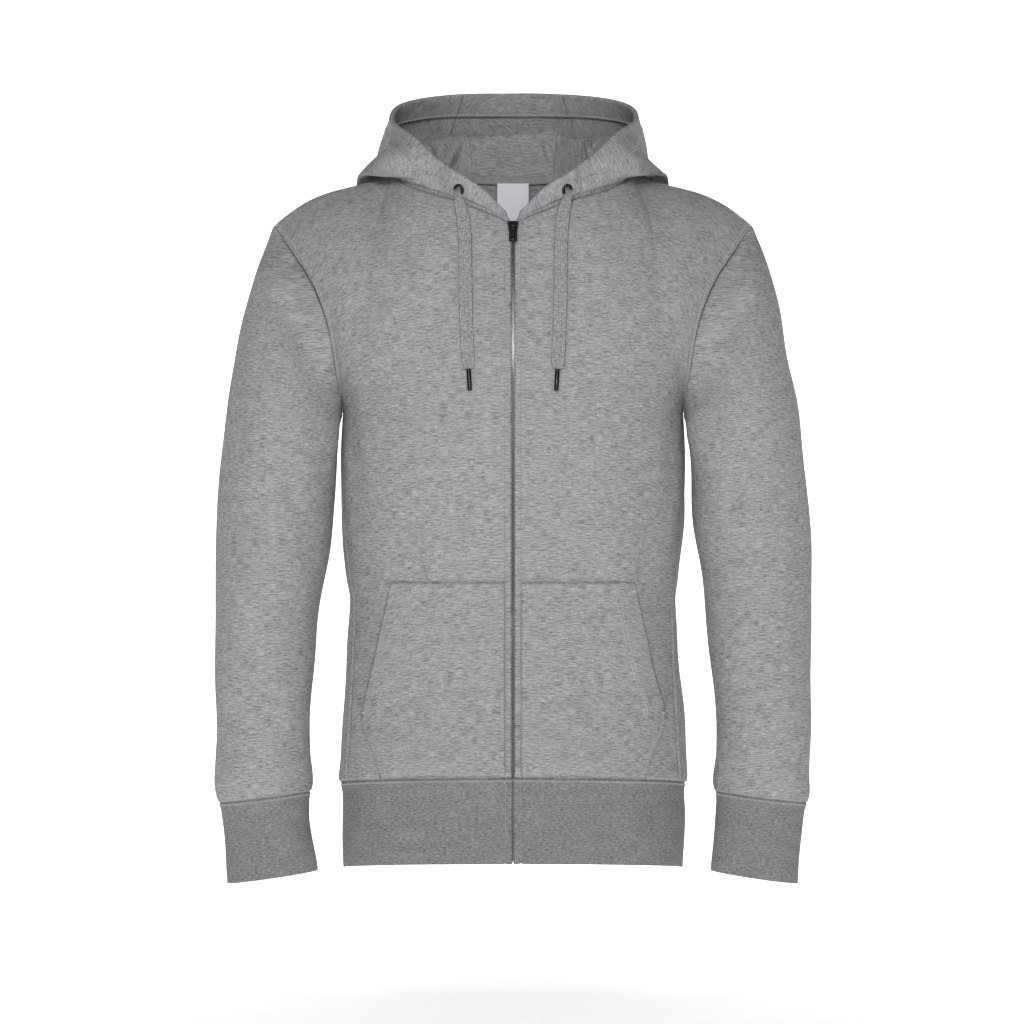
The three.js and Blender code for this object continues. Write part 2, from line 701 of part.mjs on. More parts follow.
// Zip: the line down the front edge, with the outward direction at each of its points
const zipPoints = [
  ...frontRows.map((row) => row[0]),
  ...hemLevels.slice(1).map((z) => bodyLow(z, bodyAngle(0, z, "front"))),
].map((p) => new THREE.Vector3(0, p.y, p.z));
const zipLine = zipPoints.map((p, i) => {
  const before = zipPoints[Math.max(i - 1, 0)];
  const after = zipPoints[Math.min(i + 1, zipPoints.length - 1)];
  const down = after.clone().sub(before).normalize();
  return { p, down, out: new THREE.Vector3(0, down.z, -down.y) };
});

const zipPoint = (at, x, out) => new THREE.Vector3(x, at.p.y, at.p.z).addScaledVector(at.out, out);

const chainRings = zipLine.map((at) => [
  zipPoint(at, CHAIN.half, CHAIN.front),
  zipPoint(at, -CHAIN.half, CHAIN.front),
  zipPoint(at, -CHAIN.half, -CHAIN.back),
  zipPoint(at, CHAIN.half, -CHAIN.back),
]);
addMesh("zip_chain", barGeometry(chainRings), material.metal());

const tapeDepth = -FLEECE - LAY_GAP;
const tapeFace = (out) => zipLine.map((at) =>
  [zipPoint(at, TAPE.outer, out - TAPE.bend), zipPoint(at, LAY_GAP / 2, out)]);
const tape = wallGeometry(tapeFace(tapeDepth), tapeFace(tapeDepth - TAPE.thick), false);
addPair("zip_tape", tape, material.tape);

// Slider: a plate over the top of the chain with a bridge on it, and the pull hung in the bridge
const hingeFrame = new THREE.Group();
const hingeUp = zipLine[0].down.clone().negate();
const hingeOut = zipLine[0].out;
hingeFrame.matrixAutoUpdate = false;
const hingePoint = zipLine[0].p.clone()
  .addScaledVector(hingeUp, -HINGE_DOWN)
  .addScaledVector(hingeOut, PULL.out);
const hingeBack = hingeOut.clone().negate();
hingeFrame.matrix.makeBasis(new THREE.Vector3(1, 0, 0), hingeBack, hingeUp).setPosition(hingePoint);
group.add(hingeFrame);

function roundedPlate(halfTop, halfBottom, up, down, corner) {
  const shape = new THREE.Shape();
  shape.moveTo(-halfTop + corner, up);
  shape.quadraticCurveTo(-halfTop, up, -halfTop, up - corner);
  shape.lineTo(-halfBottom, -down + corner);
  shape.quadraticCurveTo(-halfBottom, -down, -halfBottom + corner, -down);
  shape.lineTo(halfBottom - corner, -down);
  shape.quadraticCurveTo(halfBottom, -down, halfBottom, -down + corner);
  shape.lineTo(halfTop, up - corner);
  shape.quadraticCurveTo(halfTop, up, halfTop - corner, up);
  return shape;
}

// A shape drawn across and up, given thickness towards the inside from a distance in front of the hinge
function plateGeometry(shape, front, thick) {
  const options = { depth: thick, bevelEnabled: false, curveSegments: 3 };
  const geometry = new THREE.ExtrudeGeometry(shape, options);
  return geometry.rotateX(Math.PI / 2).translate(0, front + thick, 0);
}

function solidOf(geometry) {
  geometry.deleteAttribute("normal");
  geometry.deleteAttribute("uv");
  const merged = mergeVertices(geometry, 1e-4);
  const triVerts = Uint32Array.from(merged.index.array);
  const vertProperties = merged.attributes.position.array;
  return new wasm.Manifold(new wasm.Mesh({ numProp: 3, vertProperties, triVerts }));
}

function geometryOf(solid) {
  const { vertProperties, triVerts } = solid.getMesh();
  const geometry = new THREE.BufferGeometry();
  geometry.setAttribute("position", new THREE.BufferAttribute(vertProperties, 3));
  geometry.setIndex(new THREE.BufferAttribute(triVerts, 1));
  return geometry;
}

const plateBack = PULL.out - SLIDER.near;
const plateFront = PULL.out - SLIDER.far;
const plateShape = roundedPlate(SLIDER.half, SLIDER.half * 0.8, SLIDER.up, SLIDER.down, 2);
const plate = plateGeometry(plateShape, plateFront, plateBack - plateFront);
const arch = new THREE.Shape();
const archFront = -(BRIDGE.top - plateFront) - BRIDGE.thick;
arch.moveTo(-BRIDGE.outside, plateFront + 0.4);
arch.lineTo(-BRIDGE.outside, archFront + 0.6);
arch.lineTo(-BRIDGE.outside + 0.6, archFront);
arch.lineTo(BRIDGE.outside - 0.6, archFront);
arch.lineTo(BRIDGE.outside, archFront + 0.6);
arch.lineTo(BRIDGE.outside, plateFront + 0.4);
arch.lineTo(BRIDGE.inside, plateFront + 0.4);
arch.lineTo(BRIDGE.inside, archFront + BRIDGE.thick);
arch.lineTo(-BRIDGE.inside, archFront + BRIDGE.thick);
arch.lineTo(-BRIDGE.inside, plateFront + 0.4);
const bridge = new THREE.ExtrudeGeometry(arch, { depth: 2 * BRIDGE.half, bevelEnabled: false });
bridge.translate(0, 0, -BRIDGE.half);
bridge.applyMatrix4(new THREE.Matrix4().makeBasis(
  new THREE.Vector3(0, 0, 1), new THREE.Vector3(0, 1, 0), new THREE.Vector3(-1, 0, 0),
));
const slider = new THREE.Mesh(geometryOf(solidOf(plate).add(solidOf(bridge))), material.metal());
slider.name = "zip_slider";
hingeFrame.add(slider);

const pullShape = roundedPlate(PULL.half * 0.8, PULL.half, PULL.bar, PULL.length, 1.4);
const rectangle = (half, top, bottom) => new THREE.Path([
  new THREE.Vector2(-half, top),
  new THREE.Vector2(half, top),
  new THREE.Vector2(half, bottom),
  new THREE.Vector2(-half, bottom),
]);
const lowerEnd = PULL_HOLES.lowerBar - PULL.length;
pullShape.holes.push(rectangle(PULL_HOLES.half, -PULL.bar, -PULL.bar - PULL_HOLES.upper));
pullShape.holes.push(rectangle(PULL_HOLES.half, lowerEnd + PULL_HOLES.lower, lowerEnd));
const pull = new THREE.Mesh(plateGeometry(pullShape, -PULL.thick / 2, PULL.thick), material.metal());
pull.name = "zip_pull";
hingeFrame.add(pull);

// Eyelets in the hood's front, one for each cord
function ringGeometry(inner, outer, thick) {
  const profile = [[inner, 0], [outer, 0], [outer, thick * 0.5], [outer - 0.7, thick], [inner + 0.4, thick],
    [inner, thick * 0.6], [inner, 0]];
  return new THREE.LatheGeometry(profile.map(([r, h]) => new THREE.Vector2(r, h)), 20);
}

const eyeletColumn = hoodColumn(EYELET.around);
const eyeletPoint = along(eyeletColumn, EYELET.share);
const eyeletUp = along(eyeletColumn, EYELET.share + 0.1).sub(eyeletPoint);
const eyeletAcross = along(hoodColumn(EYELET.around - 0.02), EYELET.share).sub(eyeletPoint);
const eyeletOut = eyeletAcross.cross(eyeletUp.negate()).normalize();
const turnOut = new THREE.Quaternion().setFromUnitVectors(new THREE.Vector3(0, 1, 0), eyeletOut);
const ring = ringGeometry(EYELET.inner, EYELET.outer, EYELET.thick);
ring.deleteAttribute("normal");
ring.deleteAttribute("uv");
ring.applyQuaternion(turnOut).translate(...eyeletPoint.clone().addScaledVector(eyeletOut, LAY_GAP));
addPair("eyelet", mergeVertices(ring, 1e-4), material.metal);

// Flat drawcords hanging from the eyelets, each with a metal tip
const cordRoute = new THREE.CatmullRomCurve3(CORD_ROUTE.map((p) => new THREE.Vector3(...p)));
const cordSection = new THREE.Shape(steps(CORD.sides).slice(0, -1).map((share) => {
  const angle = share * 2 * Math.PI;
  const flat = Math.sign(Math.cos(angle)) * Math.abs(Math.cos(angle)) ** 0.6;
  return new THREE.Vector2((flat * CORD.wide) / 2, (Math.sin(angle) * CORD.thick) / 2);
}));
const cord = new THREE.ExtrudeGeometry(cordSection, { steps: CORD.steps, extrudePath: cordRoute });
cord.deleteAttribute("normal");
cord.deleteAttribute("uv");
addPair("cord", mergeVertices(cord, 1e-4), material.cord);

const tipProfile = [[0, 0], [TIP.radius * 0.9, 0], [TIP.radius, 1], [TIP.radius, TIP.length - 1],
  [TIP.radius * 0.7, TIP.length], [0, TIP.length]];
const tip = new THREE.LatheGeometry(tipProfile.map(([r, h]) => new THREE.Vector2(r, h)), 12);
tip.deleteAttribute("normal");
tip.deleteAttribute("uv");
const cordEnd = cordRoute.getPoint(1);
const tipDown = cordRoute.getTangent(1);
tip.applyQuaternion(new THREE.Quaternion().setFromUnitVectors(new THREE.Vector3(0, 1, 0), tipDown));
tip.translate(...cordEnd.clone().addScaledVector(tipDown, LAY_GAP));
addPair("tip", mergeVertices(tip, 1e-4), material.metal);

// Tape over the back neck seam, inside, and the plain label that hangs from it
const neckSeam = plainHood[plainHood.length - 1];
const tapeFrom = NECK_TAPE.fromStep;
const tapeTo = hoodEnd - NECK_TAPE.fromStep;
const neckTape = [NECK_TAPE.half, -NECK_TAPE.half].map((up) =>
  neckSeam.slice(tapeFrom, tapeTo + 1).map((p) => new THREE.Vector3(p.x, p.y, p.z + up)));
const tapeNear = -FLEECE - LAY_GAP;
addMesh("neck_tape", layGeometry(neckTape, tapeNear - NECK_TAPE.thick, tapeNear), material.tape());

const labelFace = tapeNear - NECK_TAPE.thick - LAY_GAP;
const labelRows = steps(4).map((share) => [-1, -0.5, 0, 0.5, 1].map((across) => {
  const seam = neckSeam[hoodEnd / 2];
  const x = LABEL.half * across;
  const curve = x * x * 0.0035;
  return new THREE.Vector3(x, seam.y - curve, LABEL.top - LABEL.height * share);
}));
addMesh("neck_label", layGeometry(labelRows, labelFace - LABEL.thick, labelFace), material.label());

export default group;
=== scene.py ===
# %% [markdown]
# This lesson dresses the imported model of a zip-up hooded sweatshirt. The imported model holds the pieces at
# their real size, and every mesh made here lies on one of them. It starts by loading that frame.

import math

import bmesh
import bpy
import numpy as np
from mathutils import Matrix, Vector


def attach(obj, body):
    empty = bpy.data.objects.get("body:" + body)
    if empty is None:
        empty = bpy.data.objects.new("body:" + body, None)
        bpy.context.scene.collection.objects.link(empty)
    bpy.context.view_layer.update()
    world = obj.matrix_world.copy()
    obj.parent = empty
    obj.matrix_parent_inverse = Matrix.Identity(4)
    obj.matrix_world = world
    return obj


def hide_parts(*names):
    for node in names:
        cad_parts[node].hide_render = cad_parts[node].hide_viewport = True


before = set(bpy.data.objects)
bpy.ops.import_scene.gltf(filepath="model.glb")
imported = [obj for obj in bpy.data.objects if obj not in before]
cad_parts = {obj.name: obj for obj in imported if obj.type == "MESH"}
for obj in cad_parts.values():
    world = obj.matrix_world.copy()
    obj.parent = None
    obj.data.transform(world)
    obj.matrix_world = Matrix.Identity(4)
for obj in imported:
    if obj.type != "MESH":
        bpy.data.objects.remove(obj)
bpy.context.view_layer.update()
MM = 0.001

# %% [markdown]
# The camera comes first. The garment is photographed from straight ahead and from far away, so a long lens
# at five metres gives the same flat view: at the garment's middle plane one millimetre is one pixel.

# %% Camera
CAMERA_DISTANCE = 5.0
SENSOR_MM = 36.0
VIEW_WIDTH = 1.024
VIEW_CENTRE_X = -0.001
VIEW_CENTRE_Z = -0.327


def new_object(name, data):
    """An object in the scene that shows the given mesh, light or camera."""
    made = bpy.data.objects.new(name, data)
    bpy.context.scene.collection.objects.link(made)
    return made


camera = new_object("camera", bpy.data.cameras.new("camera"))
camera.data.sensor_width = SENSOR_MM
camera.data.lens = SENSOR_MM * CAMERA_DISTANCE / VIEW_WIDTH
camera.data.clip_end = 30
camera.location = (VIEW_CENTRE_X, -CAMERA_DISTANCE, VIEW_CENTRE_Z)
camera.rotation_euler = (math.radians(90), 0, 0)
bpy.context.scene.camera = camera
print("lens", round(camera.data.lens, 1), "mm")

# %% [markdown]
# The garment's form comes from its cut: short tables give the girth, the armholes, the sleeves and the hood
# at a few places, in millimetres, and smooth curves run between the rows. The same tables shape the packed
# model, so the finer cloth made from them lies where that model is.

# %% Tables of the cut
FLEECE = 2.0
HEM_SEAM_Z = -598
HEM_Z = -682
ZIP_EDGE_X = 2.6
ROUNDNESS = 0.92
SHOULDER_CROWN = 10.5
FALL_AT_ZIP = 0.75
FALL_AT_NECK = 0.12
HEM_LIFT = 10
HEM_LIFT_FROM = -470
NECK_STEPS = 8
BODY_COLUMNS = 12
SHOULDER_AROUND = 0.56
SHOULDER_TIP = np.array([239.0, 0.0, -40.0])
ARMPIT_X = 170
ARMPIT_Z = -228


def table(names, rows):
    """A table of named columns as a dictionary of arrays."""
    return dict(zip(names.split(), np.array(rows, float).T))


GIRTH = table("z half front back seam", [
    (-228, 170.0, 119, 119, 89),
    (-275, 172.0, 118, 117, 86),
    (-335, 170.5, 113, 110, 81),
    (-395, 165.5, 108, 103, 77),
    (-415, 162.5, 107, 102, 76),
    (-455, 164.5, 107, 103, 74),
    (-515, 169.0, 109, 107, 72),
    (-575, 173.5, 111, 110, 71),
    (-592, 174.5, 111, 110, 71),
    (-598, 172.5, 109.5, 108.5, 71),
    (-606, 171.0, 108, 107, 71),
    (-682, 170.5, 106, 105, 71),
])
ARMHOLE = {
    "front": table("down x y z", [
        (0.0, 239, 0, -40),
        (0.15, 223, -26, -64),
        (0.35, 199, -50, -101),
        (0.55, 182, -62, -146),
        (0.78, 174, -46, -196),
        (1.0, 170, -2, -228),
    ]),
    "back": table("down x y z", [
        (0.0, 239, 0, -40),
        (0.15, 228, 26, -62),
        (0.35, 208, 50, -100),
        (0.55, 191, 60, -148),
        (0.78, 178, 42, -198),
        (1.0, 170, -2, -228),
    ]),
}
SLEEVE = table("along out_x out_z in_x in_z front back", [
    (0.12, 253, -76, 172.4, -238, -72, 68),
    (0.23, 268, -130, 174.2, -254, -78, 69),
    (0.34, 280.5, -195, 175.6, -278, -79, 66),
    (0.45, 290, -265, 178.5, -315, -77, 60),
    (0.55, 295.5, -335, 182.5, -356, -76, 51),
    (0.65, 297.5, -400, 189.5, -402, -77, 41),
    (0.75, 297.2, -460, 194.5, -452, -77, 31),
    (0.85, 296, -522, 200, -508, -75, 22),
    (0.94, 294.8, -580, 202, -566, -71, 13),
    (0.98, 295.2, -606, 198.5, -594, -68, 9),
    (1.0, 292.5, -616, 201, -605, -64, 5),
])
CUFF = table("along out_x out_z in_x in_z front back", [
    (0.0, 292.5, -616, 201, -605, -64, 5),
    (0.1, 290, -624, 202, -612, -62, 3),
    (0.55, 286, -662, 199.5, -650, -60, 1),
    (1.0, 283.5, -696, 195, -683, -60, -1),
])
HOOD = [
    dict(around=0.0, neck=(4.5, -82, -41), rim=(8, -86, -33)),
    dict(around=0.1, neck=(34, -80, -27), rim=(31, -86, -11)),
    dict(around=0.2, neck=(58, -74, -17.5), rim=(55, -81, 4)),
    dict(around=0.32, neck=(84, -60, -9.5), rim=(77, -64, 21)),
    dict(around=0.44, neck=(108, -33, 1), crest=(113, -38, 6), inside=(120, -41, 5),
         bottom=(128, -41, 8), wall=(125, -39, 27), rim=(102, -36, 47)),
    dict(around=0.56, neck=(118, 5, 12), crest=(124, 9, 22), inside=(141, 17, 17),
         bottom=(156, 26, 6), wall=(126, 22, 40), rim=(124, 16, 64)),
    dict(around=0.7, neck=(98, 46, 14), crest=(108, 58, 45), inside=(130, 80, 5),
         bottom=(140, 108, -66), wall=(138, 94, 34), rim=(119, 80, 86)),
    dict(around=0.85, neck=(54, 67, 11), crest=(62, 82, 51), inside=(74, 108, -40),
         bottom=(80, 138, -132), wall=(108, 154, -22), rim=(70, 128, 99)),
    dict(around=1.0, neck=(0, 73, 9), crest=(0, 88, 53), inside=(0, 114, -50),
         bottom=(0, 146, -154), wall=(0, 178, -36), rim=(0, 148, 102)),
]
print("tables of", len(GIRTH["z"]), "girths and", len(HOOD), "hood sections")

# %% [markdown]
# A smooth curve through the rows of a table keeps the cloth free of kinks. Each stretch between two rows is
# a cubic whose slope at a row is taken from the rows on both sides of it.


# %% Smooth curves and surfaces
def eased(t):
    """A share from 0 to 1 that starts and ends gently."""
    return t * t * (3 - 2 * t)


def smooth(places, values, at):
    """Values between the rows at rising or falling places. Rows of values may be numbers or points."""
    places = np.asarray(places, float)
    values = np.asarray(values, float)
    if places[0] > places[-1]:
        places, values = places[::-1], values[::-1]
    ahead = np.r_[np.arange(1, len(places)), len(places) - 1]
    behind = np.r_[0, np.arange(len(places) - 1)]
    run = (places[ahead] - places[behind]).reshape((-1,) + (1,) * (values.ndim - 1))
    slopes = (values[ahead] - values[behind]) / run
    at = np.clip(np.asarray(at, float), places[0], places[-1])
    row = np.clip(np.searchsorted(places, at, "right") - 1, 0, len(places) - 2)
    step = places[row + 1] - places[row]
    t = (at - places[row]) / step
    shape = t.shape + (1,) * (values.ndim - 1)
    t, step = t.reshape(shape), step.reshape(shape)
    rest = 1 - t
    return (
        values[row] * rest * rest * (1 + 2 * t)
        + values[row + 1] * t * t * (3 - 2 * t)
        + slopes[row] * step * t * rest * rest
        - slopes[row + 1] * step * t * t * rest
    )


def column(rows, place, name, at):
    return smooth(rows[place], rows[name], at)


KNOTS = ("neck", "crest", "inside", "bottom", "wall", "rim")
# Where the knots that a section leaves out lie between its neck and its rim, and how far the cloth sags
PLAIN_SHARES = dict(crest=0.25, inside=0.42, bottom=0.6, wall=0.8)
PLAIN_SAG = 4


def hood_table():
    """The hood's sections as one array: rows around the neck, then the six knots of each section."""
    rows = []
    for section in HOOD:
        neck, rim = np.array(section["neck"], float), np.array(section["rim"], float)
        knots = []
        for name in KNOTS:
            if name in section:
                knots.append(np.array(section[name], float))
            else:
                share = PLAIN_SHARES[name]
                point = neck + (rim - neck) * share
                point[1] -= PLAIN_SAG * math.sin(math.pi * share) * section["around"]
                knots.append(point)
        rows.append(knots)
    around = [section["around"] for section in HOOD]
    beyond = np.array(rows[-2]) * (-1, 1, 1)
    return np.array(around + [2 - around[-2]]), np.array(rows + [beyond])


HOOD_AROUND, HOOD_KNOTS = hood_table()


def hood_surface(around, share):
    """The hood's outer face: rows of points at places around the neck, columns at shares of the section."""
    sections = smooth(HOOD_AROUND, HOOD_KNOTS, around)
    last = len(KNOTS) - 1
    return np.array([smooth(np.arange(last + 1), knots, np.asarray(share) * last) for knots in sections])


def body_low(z, degrees):
    """The body's face below the armpit at heights and angles from the zip."""
    z, degrees = np.broadcast_arrays(np.asarray(z, float), np.asarray(degrees, float))
    angle = np.radians(degrees)
    depth = np.where(degrees < 90, column(GIRTH, "z", "front", z), column(GIRTH, "z", "back", z))
    cosine = np.cos(angle)
    y = -np.sign(cosine) * depth * np.abs(cosine) ** ROUNDNESS
    t = np.clip((HEM_LIFT_FROM - z) / (HEM_LIFT_FROM - HEM_SEAM_Z), 0, 1)
    lift = HEM_LIFT * eased(t) * np.maximum(cosine, 0)
    return np.stack([column(GIRTH, "z", "half", z) * np.sin(angle), y, z + lift], -1)


def body_angle(places, z, face):
    seam = column(GIRTH, "z", "seam", z)
    share = np.asarray(places, float) / BODY_COLUMNS
    if face == "front":
        start = np.degrees(ZIP_EDGE_X / column(GIRTH, "z", "half", z))
        return start + (seam - start) * share
    return 180 - (180 - seam) * share


def top_edge(places, face):
    """The neck seam and the shoulder seam, from the centre to the shoulder tip."""
    places = np.asarray(places, float)
    share = np.clip(places / NECK_STEPS, 0, 1)
    around = SHOULDER_AROUND * share if face == "front" else 1 - (1 - SHOULDER_AROUND) * share
    neck = smooth(HOOD_AROUND, HOOD_KNOTS[:, 0], around)
    across = np.clip((places - NECK_STEPS) / (BODY_COLUMNS - NECK_STEPS), 0, 1)[..., None]
    point = neck + (SHOULDER_TIP - neck) * across
    point[..., 2] += SHOULDER_CROWN * np.sin(np.pi * across[..., 0] ** 1.6)
    return point


def body_high(down, places, face):
    """The body's face above the armpit: each column curves from the top edge to the armpit's level."""
    down, places = np.meshgrid(np.asarray(down, float), np.asarray(places, float), indexing="ij")
    turn = down * math.pi / 2
    rows = ARMHOLE[face]

    def curve(at):
        top = top_edge(at, face)
        low = body_low(ARMPIT_Z, body_angle(at, ARMPIT_Z, face))
        narrowing = (column(rows, "down", "x", down) - SHOULDER_TIP[0]) / (ARMPIT_X - SHOULDER_TIP[0])
        straight = FALL_AT_ZIP + (FALL_AT_NECK - FALL_AT_ZIP) * np.minimum(at / NECK_STEPS, 1)
        fall = straight * down + (1 - straight) * (1 - np.cos(turn))
        shares = np.stack([narrowing, np.sin(turn), fall], -1)
        return top + (low - top) * shares

    point, edge = curve(places), curve(np.full_like(places, BODY_COLUMNS))
    armhole = np.stack([column(rows, "down", axis, down) for axis in "xyz"], -1)
    return point + (places / BODY_COLUMNS)[..., None] ** 3 * (armhole - edge)


def rings(rows, shares):
    """Closed sections of a sleeve or cuff: the top is at share 0, and the ring runs over the front."""
    angle = 2 * math.pi * np.asarray(shares)[None, :]
    outward = (1 + np.cos(angle)) / 2
    forward = (1 + np.sin(angle)) / 2
    inner = {name: rows[name][:, None] for name in rows}
    return np.stack([
        inner["in_x"] + (inner["out_x"] - inner["in_x"]) * outward,
        inner["back"] + (inner["front"] - inner["back"]) * forward,
        inner["in_z"] + (inner["out_z"] - inner["in_z"]) * outward,
    ], -1)


def armhole_ring(shares):
    front = np.clip(2 * np.asarray(shares), 0, 1)
    back = np.clip(2 - 2 * np.asarray(shares), 0, 1)
    on_front = np.stack([column(ARMHOLE["front"], "down", axis, front) for axis in "xyz"], -1)
    on_back = np.stack([column(ARMHOLE["back"], "down", axis, back) for axis in "xyz"], -1)
    return np.where(np.asarray(shares)[:, None] <= 0.5, on_front, on_back)


print("armpit", body_high([1.0], [BODY_COLUMNS], "front")[0, 0].round(1))

# %% [markdown]
# Cloth is modelled as a closed wall two millimetres thick: an outer face, the same face moved inwards, and
# a rim that joins them. Both faces are grids of points, so the whole piece is rows and columns of quads.
# Each mesh also keeps two lengths for every point, across and along the cloth, in metres. The materials
# read them, so that knitting and ribs follow the cloth round a sleeve or a hood.


# %% Meshes from grids
def unit(vectors):
    return vectors / np.maximum(np.linalg.norm(vectors, axis=-1, keepdims=True), 1e-9)


def normals_of(grid, closed=False):
    """Outward directions of a grid whose rows run down and whose columns run across."""
    if closed:
        across = np.roll(grid, -1, 1) - np.roll(grid, 1, 1)
    else:
        across = np.gradient(grid, axis=1)
    return unit(np.cross(across, np.gradient(grid, axis=0)))


def lengths(grid, axis):
    """How far each point lies from the first one, along its row or its column."""
    steps = np.linalg.norm(np.diff(grid, axis=axis), axis=-1)
    start = np.zeros_like(np.take(steps, [0], axis))
    return np.cumsum(np.concatenate([start, steps], axis), axis)


def grid_faces(rows, columns, closed):
    i, j = np.meshgrid(np.arange(rows - 1), np.arange(columns if closed else columns - 1), indexing="ij")
    k = (j + 1) % columns
    here, below = i * columns, (i + 1) * columns
    return np.stack([here + j, below + j, below + k, here + k], -1).reshape(-1, 4)


def wall_faces(rows, columns, closed):
    """Quads of a closed wall whose outer face comes first and whose inner face follows."""
    outer = grid_faces(rows, columns, closed)
    inner = outer[:, ::-1] + rows * columns
    far = rows * columns
    j = np.arange(columns if closed else columns - 1)
    k = (j + 1) % columns
    base = (rows - 1) * columns
    rims = [
        np.stack([j, k, k + far, j + far], -1),
        np.stack([base + k, base + j, base + j + far, base + k + far], -1),
    ]
    if not closed:
        i = np.arange(rows - 1) * columns
        end = i + columns - 1
        rims.append(np.stack([i + columns, i, i + far, i + columns + far], -1))
        rims.append(np.stack([end, end + columns, end + columns + far, end + far], -1))
    return np.concatenate([outer, inner] + rims)


def add_mesh(name, points, faces, cloth=None, sharp=False):
    """A mesh from points in millimetres, with the cloth's own lengths as an attribute in metres."""
    points = np.asarray(points, float).reshape(-1, 3) * MM
    faces = np.asarray(faces)
    mesh = bpy.data.meshes.new(name)
    mesh.vertices.add(len(points))
    mesh.vertices.foreach_set("co", points.astype(np.float32).ravel())
    mesh.loops.add(faces.size)
    mesh.loops.foreach_set("vertex_index", faces.astype(np.int32).ravel())
    mesh.polygons.add(len(faces))
    mesh.polygons.foreach_set("loop_start", np.arange(0, faces.size, faces.shape[1], dtype=np.int32))
    mesh.update(calc_edges=True)
    mesh.validate()
    mesh.polygons.foreach_set("use_smooth", np.full(len(mesh.polygons), not sharp))
    if cloth is not None:
        layer = mesh.attributes.new("cloth", "FLOAT_VECTOR", "POINT")
        layer.data.foreach_set("vector", np.asarray(cloth, np.float32).reshape(-1, 3).ravel())
    return new_object(name, mesh)


def cloth_lengths(grid, grain, closed):
    """Metres across and along the cloth at each point. The grain says what the rows of stitches follow:
    up from the bottom edge, level round a sleeve, or along a panel whose zip end comes first or last. A
    closed ring is measured both ways from its outer side, so that the two ends meet at its inner seam."""
    across, along = lengths(grid, 1) * MM, lengths(grid, 0) * MM
    middle = across.shape[1] // 2
    if closed:
        closing = np.linalg.norm(grid[:, :1] - grid[:, -1:], axis=-1) * MM
        across[:, middle:] -= across[:, -1:] + closing
    elif grain == "up":
        across = across - across[:, [middle]]
    if grain == "up":
        along = along - along[-1:]
    elif grain == "level":
        along = grid[..., 2] * MM
    elif grain == "zip first":
        across, along = along, across
    elif grain == "zip last":
        across, along = along, across - across[:, -1:]
    return np.stack([across, along, np.zeros_like(across)], -1)


def add_wall(name, outer, inner, closed=False, grain="up"):
    rows, columns = outer.shape[:2]
    cloth = cloth_lengths(outer, grain, closed)
    points = np.concatenate([outer.reshape(-1, 3), inner.reshape(-1, 3)])
    both = np.concatenate([cloth.reshape(-1, 3), cloth.reshape(-1, 3)])
    return add_mesh(name, points, wall_faces(rows, columns, closed), both)


def mirrored(grid):
    """The same grid on the wearer's other side, its columns in reverse so that it still faces out."""
    return (grid * (-1, 1, 1))[:, ::-1]


print("mesh helpers ready")
